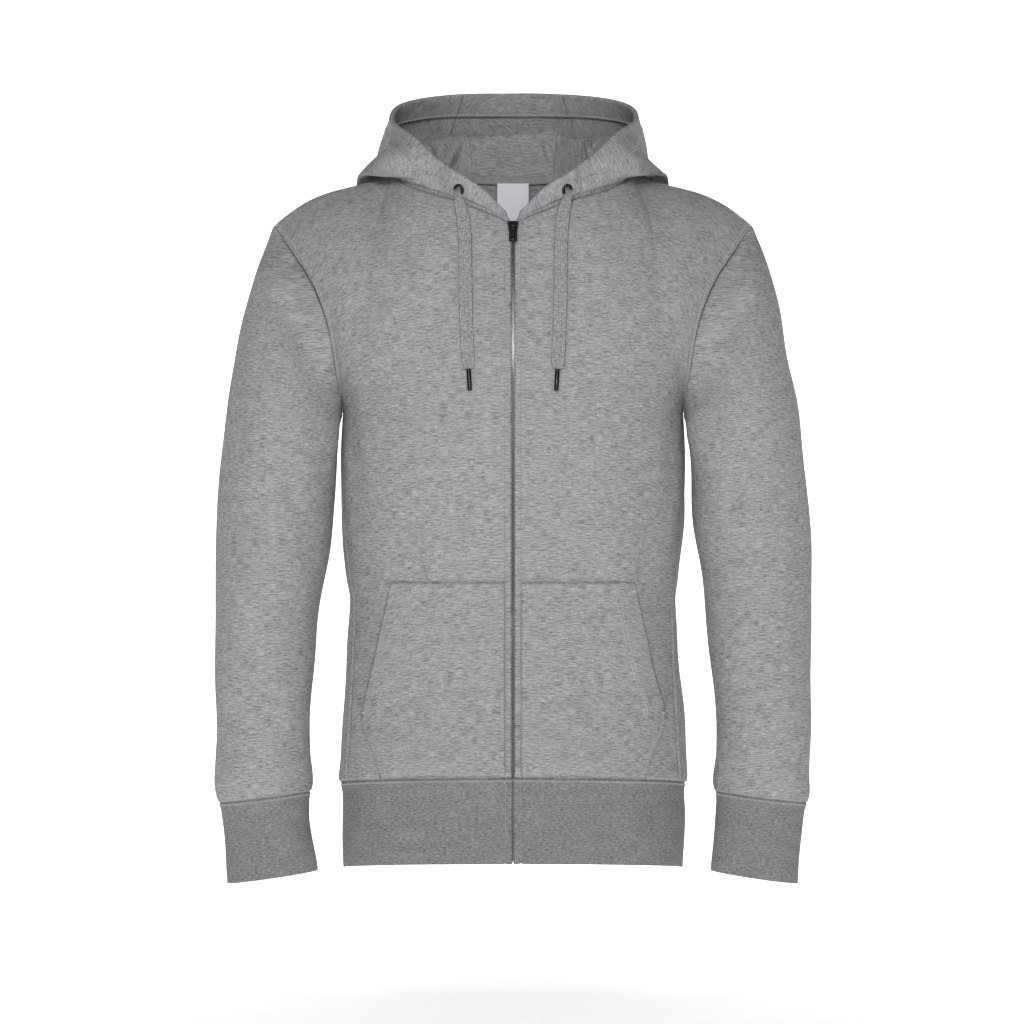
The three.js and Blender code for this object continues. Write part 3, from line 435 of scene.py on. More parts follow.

# %% [markdown]
# Fleece is soft and thick, so it folds in broad, shallow waves and never in sharp lines. Simulated cloth
# would need a body inside it and gives other folds each time. Here each crease is given as a short line seen
# from the front or the back, with its own width and depth. A trough is positive and a ridge is negative. Weak
# waves with no order lie over all of it.

# %% Creases
# Each row: the side it is seen from, its points as x and z from the front, its width and its depth. A row
# for both sides is the same on the two hands.
CREASE_MIDDLE_Y = -4
WAVE_COUNT = 9
WAVE_SHORTEST = 45
WAVE_LONGEST = 130
CREASES = [
    ("both", [(171, -181), (157, -266), (153, -334)], 9, 5.2),
    ("front", [(-168, -214), (-148, -262), (-139, -330)], 8, -1.5),
    ("front", [(164, -238), (150, -300), (146, -352)], 8, -1.3),
    ("front", [(-196, -116), (-158, -150), (-120, -166)], 13, 1.3),
    ("front", [(190, -126), (150, -158), (118, -170)], 12, 1.1),
    ("front", [(-60, -52), (-98, -92), (-110, -142)], 16, -1.2),
    ("front", [(64, -56), (100, -98), (108, -150)], 15, -1.1),
    ("front", [(-160, -352), (-120, -392), (-74, -402)], 12, 1.2),
    ("front", [(159, -372), (118, -404), (80, -408)], 12, 1.0),
    ("front", [(-150, -500), (-146, -545), (-141, -592)], 9, 1.6),
    ("front", [(152, -490), (149, -540), (143, -592)], 9, 1.4),
    ("front", [(-22, -250), (-28, -330), (-20, -400)], 11, 0.9),
    ("front", [(24, -190), (30, -262), (22, -330)], 11, 0.8),
    ("front", [(-30, -470), (-24, -520), (-31, -576)], 9, 0.9),
    ("front", [(27, -455), (33, -510), (26, -560)], 9, 0.8),
    ("back", [(-176, -196), (-140, -236), (-92, -252)], 12, 2.6),
    ("back", [(180, -186), (136, -228), (88, -250)], 12, 2.3),
    ("back", [(-166, -260), (-128, -286), (-70, -290)], 11, 1.9),
    ("back", [(164, -272), (120, -300), (62, -300)], 11, 2.1),
    ("back", [(-158, -356), (-96, -388), (-20, -386)], 14, 1.8),
    ("back", [(160, -340), (104, -372), (30, -380)], 13, 1.6),
    ("back", [(-40, -180), (-52, -260), (-44, -330)], 20, -1.6),
    ("back", [(46, -190), (56, -262), (46, -340)], 20, -1.4),
    ("back", [(-120, -430), (-126, -510), (-118, -590)], 15, 1.7),
    ("back", [(108, -440), (116, -520), (110, -590)], 15, 1.9),
    ("back", [(-14, -480), (-8, -540), (-12, -594)], 16, 1.5),
    ("both", [(234, -112), (204, -167)], 9, 6),
    ("both", [(224, -288), (211, -334)], 8, 5),
    ("both", [(285, -300), (230, -322)], 10, 2.5),
    ("front", [(222, -172), (206, -208), (196, -252)], 9, 1.8),
    ("front", [(262, -262), (238, -276), (214, -278)], 9, 1.6),
    ("front", [(216, -344), (236, -366), (262, -372)], 10, 1.5),
    ("front", [(284, -352), (262, -384), (250, -430)], 11, 1.3),
    ("front", [(208, -430), (222, -470), (226, -520)], 10, 1.2),
    ("front", [(280, -470), (268, -510), (270, -550)], 10, -1.0),
    ("front", [(205, -560), (222, -580), (248, -588)], 7, 1.5),
    ("front", [(288, -574), (270, -592), (252, -598)], 6, 1.2),
    ("back", [(230, -130), (208, -176), (200, -230)], 11, 3.0),
    ("back", [(270, -280), (240, -300), (206, -304)], 10, 2.6),
    ("back", [(276, -318), (244, -334), (206, -332)], 9, 2.2),
    ("back", [(266, -356), (240, -372), (212, -366)], 9, 1.8),
    ("back", [(214, -420), (234, -470), (236, -530)], 11, 1.6),
    ("back", [(208, -570), (232, -588), (262, -594)], 7, 1.4),
]


def line_depth(seen, line, wide, deep):
    """Depth of one crease at places seen from the front, fading out towards both of its ends."""
    knots = np.array(line, float)
    run = np.linalg.norm(np.diff(knots, axis=0), axis=1)
    start = np.r_[0, np.cumsum(run)]
    nearest, place = np.full(seen.shape[:-1], np.inf), np.zeros(seen.shape[:-1])
    for k in range(len(run)):
        step = knots[k + 1] - knots[k]
        t = np.clip(((seen - knots[k]) @ step) / (step @ step), 0, 1)
        off = np.linalg.norm(seen - knots[k] - t[..., None] * step, axis=-1)
        place = np.where(off < nearest, (start[k] + t * run[k]) / start[-1], place)
        nearest = np.minimum(nearest, off)
    fade = np.clip(np.sin(math.pi * (0.08 + 0.84 * place)), 0, 1)
    return deep * fade * np.exp(-((nearest / wide) ** 2))


def creased(points):
    """Points moved towards the middle of the garment by the creases that they lie in."""
    depth = np.zeros(points.shape[:-1])
    for side, line, wide, deep in CREASES:
        seen = points[..., [0, 2]]
        if side == "both":
            seen = np.stack([np.abs(seen[..., 0]), seen[..., 1]], -1)
        depth += line_depth(seen, line, wide, deep) * side_mask(points, side)
    result = points.copy()
    result[..., 1] += np.tanh((CREASE_MIDDLE_Y - points[..., 1]) / 20) * depth
    return result


def side_mask(points, side):
    """One on the side that a crease is seen from, fading out towards the other side."""
    if side == "both":
        return 1.0
    toward = -points[..., 1] if side == "front" else points[..., 1]
    return np.clip((toward + 10) / 40, 0, 1)


def waves(points, seed, height):
    """Weak waves with no order, from a few long sines across the three directions."""
    rng = np.random.default_rng(seed)
    total = np.zeros(points.shape[:-1])
    for _ in range(WAVE_COUNT):
        direction = unit(rng.normal(size=3) * (1, 1, 0.8))
        length = rng.uniform(WAVE_SHORTEST, WAVE_LONGEST)
        phase = rng.uniform(0, 2 * math.pi)
        total += np.sin(points @ direction * 2 * math.pi / length + phase) * length / WAVE_LONGEST
    return total * height / math.sqrt(WAVE_COUNT)


def hollow(distance, depth, width):
    """A soft hollow along an edge, where the seam pulls the cloth in, with a low swelling beside it."""
    beside = (distance - 2.2 * width) / width
    return depth * np.exp(-((distance / width) ** 2)) - 0.25 * depth * np.exp(-(beside ** 2))


print(len(CREASES), "creases")

# %% [markdown]
# The fronts and the back are cut flat and sewn at the side, so each is one grid from the neck and shoulder
# down to the hem seam. The sleeves and cuffs are rings that run from the armhole to the wrist. The waves and
# creases are worked out from where a point lies and not from which piece it is on, so that two pieces stay
# joined along their seam.

# %% Body, sleeve and band grids
ACROSS = 96
HIGH_ROWS = 58
LOW_ROWS = 94
BAND_ROWS = 34
RING_COLUMNS = 112
SLEEVE_ROWS = 142
WAVE_HEIGHT = 1.5
WAVE_SEED = 7


def body_grid(face):
    places = np.linspace(0, BODY_COLUMNS, ACROSS + 1)
    high = body_high(np.linspace(0, 1, HIGH_ROWS + 1), places, face)
    z = (ARMPIT_Z + (HEM_SEAM_Z - ARMPIT_Z) * np.linspace(0, 1, LOW_ROWS + 1)[1:] ** 0.94)[:, None]
    return np.concatenate([high, body_low(z, body_angle(places[None, :], z, face))])


def band_grid():
    """The waistband from the right of the zip round the back to the left, with its bottom edge folded."""
    places = np.linspace(0, BODY_COLUMNS, ACROSS + 1)
    fold = HEM_Z + np.array([1.0, 0.5, 0.2, 0.0])
    z = np.concatenate([np.linspace(HEM_SEAM_Z, HEM_Z + 1.5, BAND_ROWS), fold])[:, None]
    front = body_low(z, body_angle(places[None, :], z, "front"))
    back = body_low(z, body_angle(places[None, :], z, "back"))
    left = np.concatenate([back, front[:, :-1][:, ::-1]], axis=1)
    return np.concatenate([mirrored(left), left[:, 1:]], axis=1)


def sleeve_grid():
    shares = np.arange(RING_COLUMNS) / RING_COLUMNS
    sections = np.concatenate([armhole_ring(shares)[None], rings(SLEEVE, shares)])
    return smooth(np.r_[0, SLEEVE["along"]], sections, np.linspace(0, 1, SLEEVE_ROWS))


def cuff_grid():
    shares = np.arange(RING_COLUMNS) / RING_COLUMNS
    places = np.concatenate([np.linspace(0, 0.98, BAND_ROWS), [0.985, 0.99, 0.996, 1.0]])
    return smooth(CUFF["along"], rings(CUFF, shares), places)


print("sleeve rows and columns", sleeve_grid().shape[:2])

# %% [markdown]
# The hood is three panels: a narrow centre one and two side ones. Its face opening is hemmed: the cloth
# turns in over the edge and lies double for some 22 mm, and the drawcord runs in that tunnel. Worn down, the
# hood falls back, so its lining side shows at the front and its rim stands up behind the neck.

# %% Hood grid
PANEL_SEAM_AROUND = 0.89
HOOD_HEM_WIDTH = 22
HOOD_HEM_TURN = 2.6
HOOD_HEM_TURN_SHARE = 0.13
PROFILE_ROWS = 76
NECK_ROWS = 62
NECK_SHARE = 0.32
HEM_BACK_ROWS = 14
HEM_TURN_ROWS = 8
# The strip behind the neck seam: the row of the body that it reaches down to, its depth behind the cloth
# by the zip and elsewhere, and how near a point of the body's edge has to be to count
TUCK_ROW = 1
TUCK_AT_ZIP = 2.2
TUCK_DEPTH = 7.0
TUCK_REACH = 4.0
ZIP_CALM_FROM = 14
ZIP_CALM_OVER = 24
# Wrinkles of the hood: the part of its section that they lie on, from and to a share, their points as x
# and z from the front, their width and their depth. The section's shares run from the neck to the opening.
HOOD_WRINKLES = [
    (0.02, 0.26, [(-72, 18), (-65, 30), (-57, 46)], 3.4, 5.0),
    (0.02, 0.26, [(-62, 20), (-54, 34)], 4.5, -2.4),
    (0.02, 0.26, [(-88, 44), (-82, 33)], 2.6, 4.8),
    (0.02, 0.26, [(-94, 26), (-84, 16), (-70, 12)], 3.6, 3.0),
    (0.02, 0.26, [(33, 48), (37, 36), (40, 26)], 2.4, 5.5),
    (0.02, 0.26, [(78, 46), (80, 36), (83, 27)], 2.6, 6.0),
    (0.02, 0.26, [(86, 46), (85, 36)], 2.6, 4.5),
    (0.02, 0.26, [(92, 38), (96, 26)], 3.0, 3.0),
    (0.02, 0.26, [(-24, 46), (-20, 30), (-30, 18)], 5.0, 2.2),
    (0.02, 0.26, [(8, 14), (24, 18), (44, 16)], 4.0, 1.8),
    (0.02, 0.26, [(-40, 14), (-12, 17), (10, 15)], 3.0, 1.4),
    (0.55, 0.98, [(-126, 50), (-117, 60)], 5.0, 2.0),
    (0.55, 0.98, [(-121, 34), (-110, 44)], 5.0, 1.6),
    (0.55, 0.98, [(124, 48), (116, 58)], 5.0, 2.0),
    (0.55, 0.98, [(128, 28), (112, 38)], 5.0, 1.5),
    (0.50, 0.98, [(-100, 14), (-80, 8), (-66, -2)], 6.0, 1.4),
    (0.50, 0.98, [(104, 16), (84, 8), (66, 0)], 6.0, 1.3),
    (0.55, 0.95, [(-60, -60), (-30, -84), (6, -90)], 9.0, 4.0),
    (0.55, 0.95, [(66, -40), (40, -66), (18, -70)], 8.0, 3.6),
    (0.60, 0.98, [(-30, 20), (0, 10), (34, 18)], 11.0, 3.0),
    (0.60, 0.98, [(-96, 10), (-84, -20), (-80, -50)], 9.0, 3.4),
    (0.60, 0.98, [(98, 4), (88, -24), (86, -52)], 9.0, 3.2),
]
HOOD_WAVE_SEED = 19
HOOD_WAVE_HEIGHT = 4.2
HOOD_WAVE_FINER = 2.4
BUNCHED_AT = 0.17
BUNCHED_OVER = 0.12


def hood_grid():
    """Rows from the face opening to the neck seam, columns from the zip round the right and back again."""
    places = np.concatenate([
        np.linspace(0, SHOULDER_AROUND, 65),
        np.linspace(SHOULDER_AROUND, PANEL_SEAM_AROUND, 66)[1:],
        np.linspace(PANEL_SEAM_AROUND, 1, 27)[1:],
    ])
    rim_part, neck_part = np.linspace(1, NECK_SHARE, PROFILE_ROWS), np.linspace(NECK_SHARE, 0, NECK_ROWS)
    shares = np.concatenate([rim_part, neck_part[1:]])
    half = hood_surface(places, shares).transpose(1, 0, 2)
    around = np.concatenate([-places, places[:-1][::-1]])
    grid = np.concatenate([half * (-1, 1, 1), half[:, :-1][:, ::-1]], axis=1)
    return grid, around, shares


def wrinkled(grid, shares):
    """The hood's own wrinkles, and small waves where it is bunched behind the neck."""
    depth = np.zeros(grid.shape[:2])
    for low, high, line, wide, deep in HOOD_WRINKLES:
        on = (shares >= low) & (shares <= high)
        depth += line_depth(grid[..., [0, 2]], line, wide, deep) * on[:, None]
    bunched = np.exp(-(((shares - BUNCHED_AT) / BUNCHED_OVER) ** 2))[:, None] * np.clip(grid[..., 1] / 60, 0, 1)
    depth += waves(grid * HOOD_WAVE_FINER, HOOD_WAVE_SEED, HOOD_WAVE_HEIGHT) * bunched
    return grid - normals_of(grid) * depth[..., None]


def hemmed(grid):
    """The grid with rows before it for the cloth turned in over the first row and down inside."""
    normals = normals_of(grid)
    on = unit(grid[0] - grid[1])
    angles = np.radians(np.linspace(180, 0, HEM_TURN_ROWS + 1))[:-1, None, None]
    run = lengths(grid, 0)
    radius = np.minimum(HOOD_HEM_TURN, HOOD_HEM_TURN_SHARE * run[-1])[:, None]
    turn = grid[0] + radius * (on * np.sin(angles) - normals[0] * (1 - np.cos(angles)))
    width = np.minimum(HOOD_HEM_WIDTH, run[-1] / 2)
    back = np.empty((HEM_BACK_ROWS,) + grid.shape[1:])
    inward = grid - 2 * radius * normals
    for j in range(grid.shape[1]):
        at = width[j] * np.linspace(1, 0, HEM_BACK_ROWS + 1)[:-1]
        for axis in range(3):
            back[:, j, axis] = np.interp(at, run[:, j], inward[:, j, axis])
    return np.concatenate([back, turn, grid])


def off_zip(points):
    """Nothing beside the zip, rising to one away from it."""
    return np.clip((np.abs(points[..., 0]) - ZIP_CALM_FROM) / ZIP_CALM_OVER, 0, 1)


def tucked(grid):
    """The grid with two rows more: the groove of the neck seam, and the seam allowance behind the body."""
    pieces = (front_right, back, front_left)
    edge = np.concatenate([piece[0] for piece in pieces])
    near = np.exp(-((np.linalg.norm(grid[-1][:, None] - edge[None], axis=-1) / TUCK_REACH) ** 2))
    near /= near.sum(axis=1, keepdims=True)
    out = near @ np.concatenate([normals_of(piece)[0] for piece in pieces])
    below = near @ np.concatenate([piece[TUCK_ROW] for piece in pieces])
    inward = out * (TUCK_AT_ZIP + (TUCK_DEPTH - TUCK_AT_ZIP) * off_zip(grid[-1]))[:, None]
    share = np.clip((30 - grid[-1][:, 1:2]) / 50, 0.15, 1)
    groove = grid[-1] - inward * share
    allowance = grid[-1] + (below - inward - grid[-1]) * share
    return np.concatenate([grid, groove[None], allowance[None]])


plain_hood, hood_around, hood_shares = hood_grid()
HEM_ROWS = HEM_BACK_ROWS + HEM_TURN_ROWS
panel_start = int(np.argmin(np.abs(hood_around + PANEL_SEAM_AROUND)))
panel_end = int(np.argmin(np.abs(hood_around[::-1] - PANEL_SEAM_AROUND)))
panel_end = len(hood_around) - 1 - panel_end
print("hood", plain_hood.shape, "panels end at columns", panel_start, panel_end)

# %% [markdown]
# The pocket is a kangaroo pocket cut in two by the zip. Each half is sewn flat on its front and stands a
# little open at the mouth. It is worked out from the front's own surface, moved out, so that it lies there.

# %% Pocket grid
POCKET_TOP_Z = -396
POCKET_BOTTOM_Z = -595
POCKET_INNER_X = 8
POCKET_CLOTH = 1.8
POCKET_LIFT = 0.6
POCKET_GAPE = 3.2
POCKET_ROWS = 90
POCKET_COLUMNS = 60
POCKET_EDGE = table("z x", [
    (-396, 119),
    (-435, 126),
    (-485, 137),
    (-515, 146),
    (-529, 149),
    (-545, 147),
    (-568, 138),
    (-593, 131),
])


def pocket_grid():
    """One half's outer face on the left front, from the mouth in to the zip's stitching."""
    z = np.linspace(POCKET_TOP_Z, POCKET_BOTTOM_Z, POCKET_ROWS)[:, None]
    across = np.linspace(0, 1, POCKET_COLUMNS)[None, :]
    edge = column(POCKET_EDGE, "z", "x", z)
    x = edge + (POCKET_INNER_X - edge) * across
    angle = np.degrees(np.arcsin(x / column(GIRTH, "z", "half", z)))
    grid = body_low(z, angle)
    down = np.linspace(0, 1, POCKET_ROWS)[:, None]
    mouth = np.sin(np.pi * np.minimum(1.5 * down, 1)) * (1 - across) ** 5
    return grid, POCKET_LIFT + POCKET_GAPE * mouth


plain_pocket, pocket_lift = pocket_grid()
print("pocket", plain_pocket.shape)

# %% [markdown]
# A seam draws the cloth in: beside every seam there is a soft hollow, and the edge itself goes down into it.
# A free edge, such as the bottom of the band, is a fold and so it is round. Both are set by how far a point
# lies from the edge. The waves fade out towards a seam, where the cloth is held.


# %% Edges and finished walls
SEAM_HOLLOW = 0.8
SEAM_WIDTH = 2.0
WAVE_FADE = 30
FOLD_LEAN = 1.6
TOPSTITCH_IN = 6.6
LEAN = 9
DRAWN_FROM_Z = -44
DRAWN_REACH = 26
FRONT_EDGE_X = 1.4
BAND_EDGE_X = 0.75
PLACKET_GROOVE = 0.95
PLACKET_GROOVE_WIDTH = 1.2
NECK_HOLLOW = 2.0
NECK_HOLLOW_WIDTH = 2.4


def edge_distance(grid, edge):
    """Millimetres from each point to one edge of its grid: top, bottom, first or final."""
    run = lengths(grid, 0 if edge in ("top", "bottom") else 1)
    if edge in ("top", "first"):
        return run
    return (run[-1:] if edge == "bottom" else run[:, -1:]) - run


def edge_round(grid, edge):
    """How far a folded edge falls back over its last millimetre."""
    near = np.clip(1 - edge_distance(grid, edge), 0, 1)
    return 1 - np.sqrt(1 - near * near)


def finished(plain, seams, free=(), closed=False):
    """The outer face of a piece: creases, waves, hollows at its seams and rounding at its free edges."""
    folded = creased(plain)
    calm = np.ones(plain.shape[:2])
    for edge in seams:
        calm *= eased(np.clip(edge_distance(folded, edge) / WAVE_FADE, 0, 1))
    out = waves(plain, WAVE_SEED, WAVE_HEIGHT) * calm
    for edge in seams:
        out -= hollow(edge_distance(folded, edge), SEAM_HOLLOW, SEAM_WIDTH)
    for edge in free:
        out -= edge_round(folded, edge)
    return folded + normals_of(folded, closed) * out[..., None]


def inside_of(outer, thickness, closed=False, free=()):
    """The inner face of a wall, which leans in to meet a rounded free edge."""
    depth = np.full(outer.shape[:2], float(thickness))
    for edge in free:
        depth -= FOLD_LEAN * edge_round(outer, edge)
    return outer - normals_of(outer, closed) * depth[..., None]


def area_of(grid, closed=False):
    """The area of one face of a grid, in square metres."""
    right = np.roll(grid, -1, 1) if closed else grid[:, 1:]
    left = grid if closed else grid[:, :-1]
    a, b, c, d = left[:-1], right[:-1], right[1:], left[1:]
    cross = np.linalg.norm(np.cross(c - a, d - b), axis=-1) / 2
    return float(cross.sum()) * MM * MM


def drawn_in(grid, edge_x):
    """The zip edge brought in over the teeth below the slider, as the folded cloth lies there."""
    result = grid.copy()
    x, in_front = np.abs(grid[..., 0]), grid[..., 1] < 0
    start = np.where(in_front, x, np.inf).min(axis=1, keepdims=True)
    near = np.where(in_front, np.clip(1 - (x - start) / DRAWN_REACH, 0, 1), 0) ** 2
    below = np.clip((DRAWN_FROM_Z - grid[..., 2]) / 16, 0, 1)
    result[..., 0] -= np.sign(grid[..., 0]) * (start - edge_x) * near * below
    return result


def placket(grid, edge):
    """The folded edge is held down by its topstitching, which lies in a shallow groove."""
    off = (edge_distance(grid, edge) - TOPSTITCH_IN) / PLACKET_GROOVE_WIDTH
    return grid - normals_of(grid) * (PLACKET_GROOVE * np.exp(-(off ** 2)))[..., None]


def leaning(grid):
    """The inner front of the upper sleeve, which rests against the side of the body."""
    result = grid.copy()
    x, y, z = np.abs(grid[..., 0]), grid[..., 1], grid[..., 2]
    amount = LEAN * np.exp(-(((z + 246) / 34) ** 2)) * np.exp(-(((y + 50) / 24) ** 2))
    amount = amount * np.clip((225 - x) / 45, 0, 1)
    result[..., 0] -= np.sign(grid[..., 0]) * amount
    return result


def neck_crease(grid, edge):
    """The hood's weight presses the cloth in along the neck seam, and so the seam lies in shadow."""
    deep = NECK_HOLLOW * np.clip((20 - grid[..., 1]) / 60, 0, 1) * off_zip(grid)
    deep = deep * np.exp(-((edge_distance(grid, edge) / NECK_HOLLOW_WIDTH) ** 2))
    return grid - normals_of(grid) * deep[..., None]


plain_front = drawn_in(body_grid("front")[:, ::-1], FRONT_EDGE_X)
plain_half = body_grid("back")
plain_back = np.concatenate([mirrored(plain_half), plain_half[:, 1:]], axis=1)
front_left = placket(finished(plain_front, ("top", "bottom", "first"), ("final",)), "final")
front_right = placket(finished(mirrored(plain_front), ("top", "bottom", "final"), ("first",)), "first")
back = finished(plain_back, ("top", "bottom", "first", "final"))
sleeve_left = finished(leaning(sleeve_grid()), ("top", "bottom"), closed=True)
sleeve_right = finished(mirrored(leaning(sleeve_grid())), ("top", "bottom"), closed=True)
front_left, front_right = neck_crease(front_left, "top"), neck_crease(front_right, "top")
cuff_left = finished(cuff_grid(), ("top",), ("bottom",), closed=True)
cuff_right = finished(mirrored(cuff_grid()), ("top",), ("bottom",), closed=True)
waistband = finished(drawn_in(band_grid(), BAND_EDGE_X), ("top",), ("bottom",))
waistband = placket(placket(waistband, "first"), "final")
for label, grid, ring in (("front", front_left, False), ("back", back, False), ("sleeve", sleeve_left, True)):
    print(label, "area", round(area_of(grid, ring), 4), "m2")

# %% [markdown]
# The cloth is knitted from yarn whose fibres were dyed before spinning, some dark and some pale, so its grey
# is made of short streaks that lie along the rows of stitches. Pictures could show that, but noise that is
# stretched along the rows needs none, and it keeps its size on every piece. The group below gives that
# colour and a small height, and the materials use it at their own size and contrast.


# %% Shader groups
def shader_group(name, inputs, outputs):
    """A node group with named inputs and outputs; each input is a name, a socket type and a value."""
    tree = bpy.data.node_groups.new(name, "ShaderNodeTree")
    for label, kind, value in inputs:
        socket = tree.interface.new_socket(name=label, in_out="INPUT", socket_type=kind)
        if value is not None:
            socket.default_value = value
    for label, kind in outputs:
        tree.interface.new_socket(name=label, in_out="OUTPUT", socket_type=kind)
    return tree, tree.nodes.new("NodeGroupInput"), tree.nodes.new("NodeGroupOutput")


def math_node(tree, operation, a, b):
    node = tree.nodes.new("ShaderNodeMath")
    node.operation = operation
    for socket, value in zip(node.inputs, (a, b)):
        if isinstance(value, (int, float)):
            socket.default_value = value
        else:
            tree.links.new(value, socket)
    return node.outputs[0]


def scaled(tree, vector, by):
    """A vector multiplied part by part, by numbers or by another vector."""
    node = tree.nodes.new("ShaderNodeVectorMath")
    node.operation = "MULTIPLY"
    tree.links.new(vector, node.inputs[0])
    if isinstance(by, tuple):
        node.inputs[1].default_value = by
    else:
        tree.links.new(by, node.inputs[1])
    return node.outputs[0]


def tinted(tree, colour, shade):
    """A colour made paler or darker by a shade around one."""
    node = tree.nodes.new("ShaderNodeVectorMath")
    node.operation = "SCALE"
    tree.links.new(colour, node.inputs[0])
    tree.links.new(shade, node.inputs["Scale"])
    return node.outputs[0]


def noise(tree, vector, detail, rough):
    node = tree.nodes.new("ShaderNodeTexNoise")
    node.inputs["Scale"].default_value = 1
    node.inputs["Detail"].default_value = detail
    node.inputs["Roughness"].default_value = rough
    tree.links.new(vector, node.inputs["Vector"])
    return node.outputs["Fac"]


def swing(tree, fac, by):
    """A noise that runs from 0 to 1, brought around nothing and made stronger or weaker."""
    return math_node(tree, "MULTIPLY", math_node(tree, "SUBTRACT", fac, 0.5), by)


FIBRES_PER_METRE = (330, 1700, 330)
FIBRE_SHARE = 0.7
PATCHES_PER_METRE = (34, 95, 34)
PATCH_SHARE = 0.22
WANDER_PER_METRE = (45, 30, 45)
WANDER = 0.006
SHADE_SWING = 2.2


def melange_group():
    """Short streaks of dark and pale yarn, finer fibres and faint patches, drifting a little off the rows."""
    tree, given, result = shader_group(
        "melange",
        [
            ("Cloth", "NodeSocketVector", None),
            ("Colour", "NodeSocketColor", (0.36, 0.365, 0.375, 1)),
            ("Streaks per metre", "NodeSocketVector", (165, 900, 165)),
            ("Contrast", "NodeSocketFloat", 0.5),
        ],
        [("Colour", "NodeSocketColor"), ("Height", "NodeSocketFloat")],
    )
    cloth, size = given.outputs["Cloth"], given.outputs["Streaks per metre"]
    drift = tree.nodes.new("ShaderNodeCombineXYZ")
    wander = noise(tree, scaled(tree, cloth, WANDER_PER_METRE), 1, 0.5)
    tree.links.new(math_node(tree, "MULTIPLY", wander, WANDER), drift.inputs["Y"])
    moved = tree.nodes.new("ShaderNodeVectorMath")
    tree.links.new(cloth, moved.inputs[0])
    tree.links.new(drift.outputs[0], moved.inputs[1])
    cloth = moved.outputs[0]
    streaks = noise(tree, scaled(tree, cloth, size), 2, 0.55)
    fibres = noise(tree, scaled(tree, cloth, FIBRES_PER_METRE), 2, 0.6)
    patches = noise(tree, scaled(tree, cloth, PATCHES_PER_METRE), 2, 0.5)
    total = math_node(tree, "SUBTRACT", streaks, 0.5)
    total = math_node(tree, "ADD", total, swing(tree, fibres, FIBRE_SHARE))
    total = math_node(tree, "ADD", total, swing(tree, patches, PATCH_SHARE))
    total = math_node(tree, "MULTIPLY", total, given.outputs["Contrast"])
    shade = math_node(tree, "ADD", math_node(tree, "MULTIPLY", total, SHADE_SWING), 1)
    tree.links.new(tinted(tree, given.outputs["Colour"], shade), result.inputs["Colour"])
    tree.links.new(math_node(tree, "ADD", streaks, fibres), result.inputs["Height"])
    return tree


def ribs_group():
    """Rounded ribs across the cloth's first direction, with each rib's small stitches along the second."""
    tree, given, result = shader_group(
        "ribs",
        [
            ("Cloth", "NodeSocketVector", None),
            ("Ribs per metre", "NodeSocketFloat", 520.0),
            ("Stitches per metre", "NodeSocketFloat", 800.0),
        ],
        [("Height", "NodeSocketFloat")],
    )
    parts = tree.nodes.new("ShaderNodeSeparateXYZ")
    tree.links.new(given.outputs["Cloth"], parts.inputs[0])
    across = math_node(tree, "MULTIPLY", parts.outputs["X"], given.outputs["Ribs per metre"])
    along = math_node(tree, "MULTIPLY", parts.outputs["Y"], given.outputs["Stitches per metre"])
    turn = math_node(tree, "MULTIPLY", across, math.pi)
    rib = math_node(tree, "ABSOLUTE", math_node(tree, "SINE", turn, 0), 0)
    stitch = math_node(tree, "SINE", math_node(tree, "MULTIPLY", along, 2 * math.pi), 0)
    small = math_node(tree, "MULTIPLY", stitch, 0.18)
    tree.links.new(math_node(tree, "ADD", rib, small), result.inputs["Height"])
    return tree


MELANGE = melange_group()
RIBS = ribs_group()
print("shader groups", [tree.name for tree in (MELANGE, RIBS)])

# %% [markdown]
# Each material reads the cloth's lengths and joins the groups: the melange gives the colour, and the ribs give
# the height of a knitted or ribbed face and also darken the colour in its grooves as painted shade. Brushed
# cotton scatters light evenly and has almost no shine.


# %% Materials
# Painted shade in the knit's grooves: how much the colour brightens with the knit's height, and its share at
# the bottom of a groove
GROOVE_PAINTED_SHADE = 0.16
GROOVE_PAINTED_DARKEST = 0.9


def new_material(name, roughness):
    material = bpy.data.materials.new(name)
    material.use_nodes = True
    shader = material.node_tree.nodes["Principled BSDF"]
    shader.inputs["Roughness"].default_value = roughness
    shader.inputs["Specular IOR Level"].default_value = 0.25
    return material, material.node_tree, shader


def use_group(tree, group, **values):
    node = tree.nodes.new("ShaderNodeGroup")
    node.node_tree = group
    for label, value in values.items():
        node.inputs[label.replace("_", " ")].default_value = value
    return node


def add_bump(tree, shader, height, distance, strength=1.0):
    bump = tree.nodes.new("ShaderNodeBump")
    bump.inputs["Distance"].default_value = distance
    bump.inputs["Strength"].default_value = strength
    tree.links.new(height, bump.inputs["Height"])
    tree.links.new(bump.outputs["Normal"], shader.inputs["Normal"])


def cloth_material(name, colour, streaks, contrast, ribs, stitches, relief, roughness):
    material, tree, shader = new_material(name, roughness)
    lengths_node = tree.nodes.new("ShaderNodeAttribute")
    lengths_node.attribute_name = "cloth"
    melange = use_group(tree, MELANGE, Colour=(*colour, 1), Streaks_per_metre=streaks, Contrast=contrast)
    knit = use_group(tree, RIBS, Ribs_per_metre=ribs, Stitches_per_metre=stitches)
    for node in (melange, knit):
        tree.links.new(lengths_node.outputs["Vector"], node.inputs["Cloth"])
    # Painted shade: the base colour is darkened where the knit's height is low, in the grooves between ribs and
    # stitches
    shade = math_node(tree, "ADD", math_node(tree, "MULTIPLY", knit.outputs["Height"], GROOVE_PAINTED_SHADE), GROOVE_PAINTED_DARKEST)
    tree.links.new(tinted(tree, melange.outputs["Colour"], shade), shader.inputs["Base Color"])
    height = math_node(tree, "ADD", melange.outputs["Height"], knit.outputs["Height"])
    add_bump(tree, shader, height, relief)
    return material


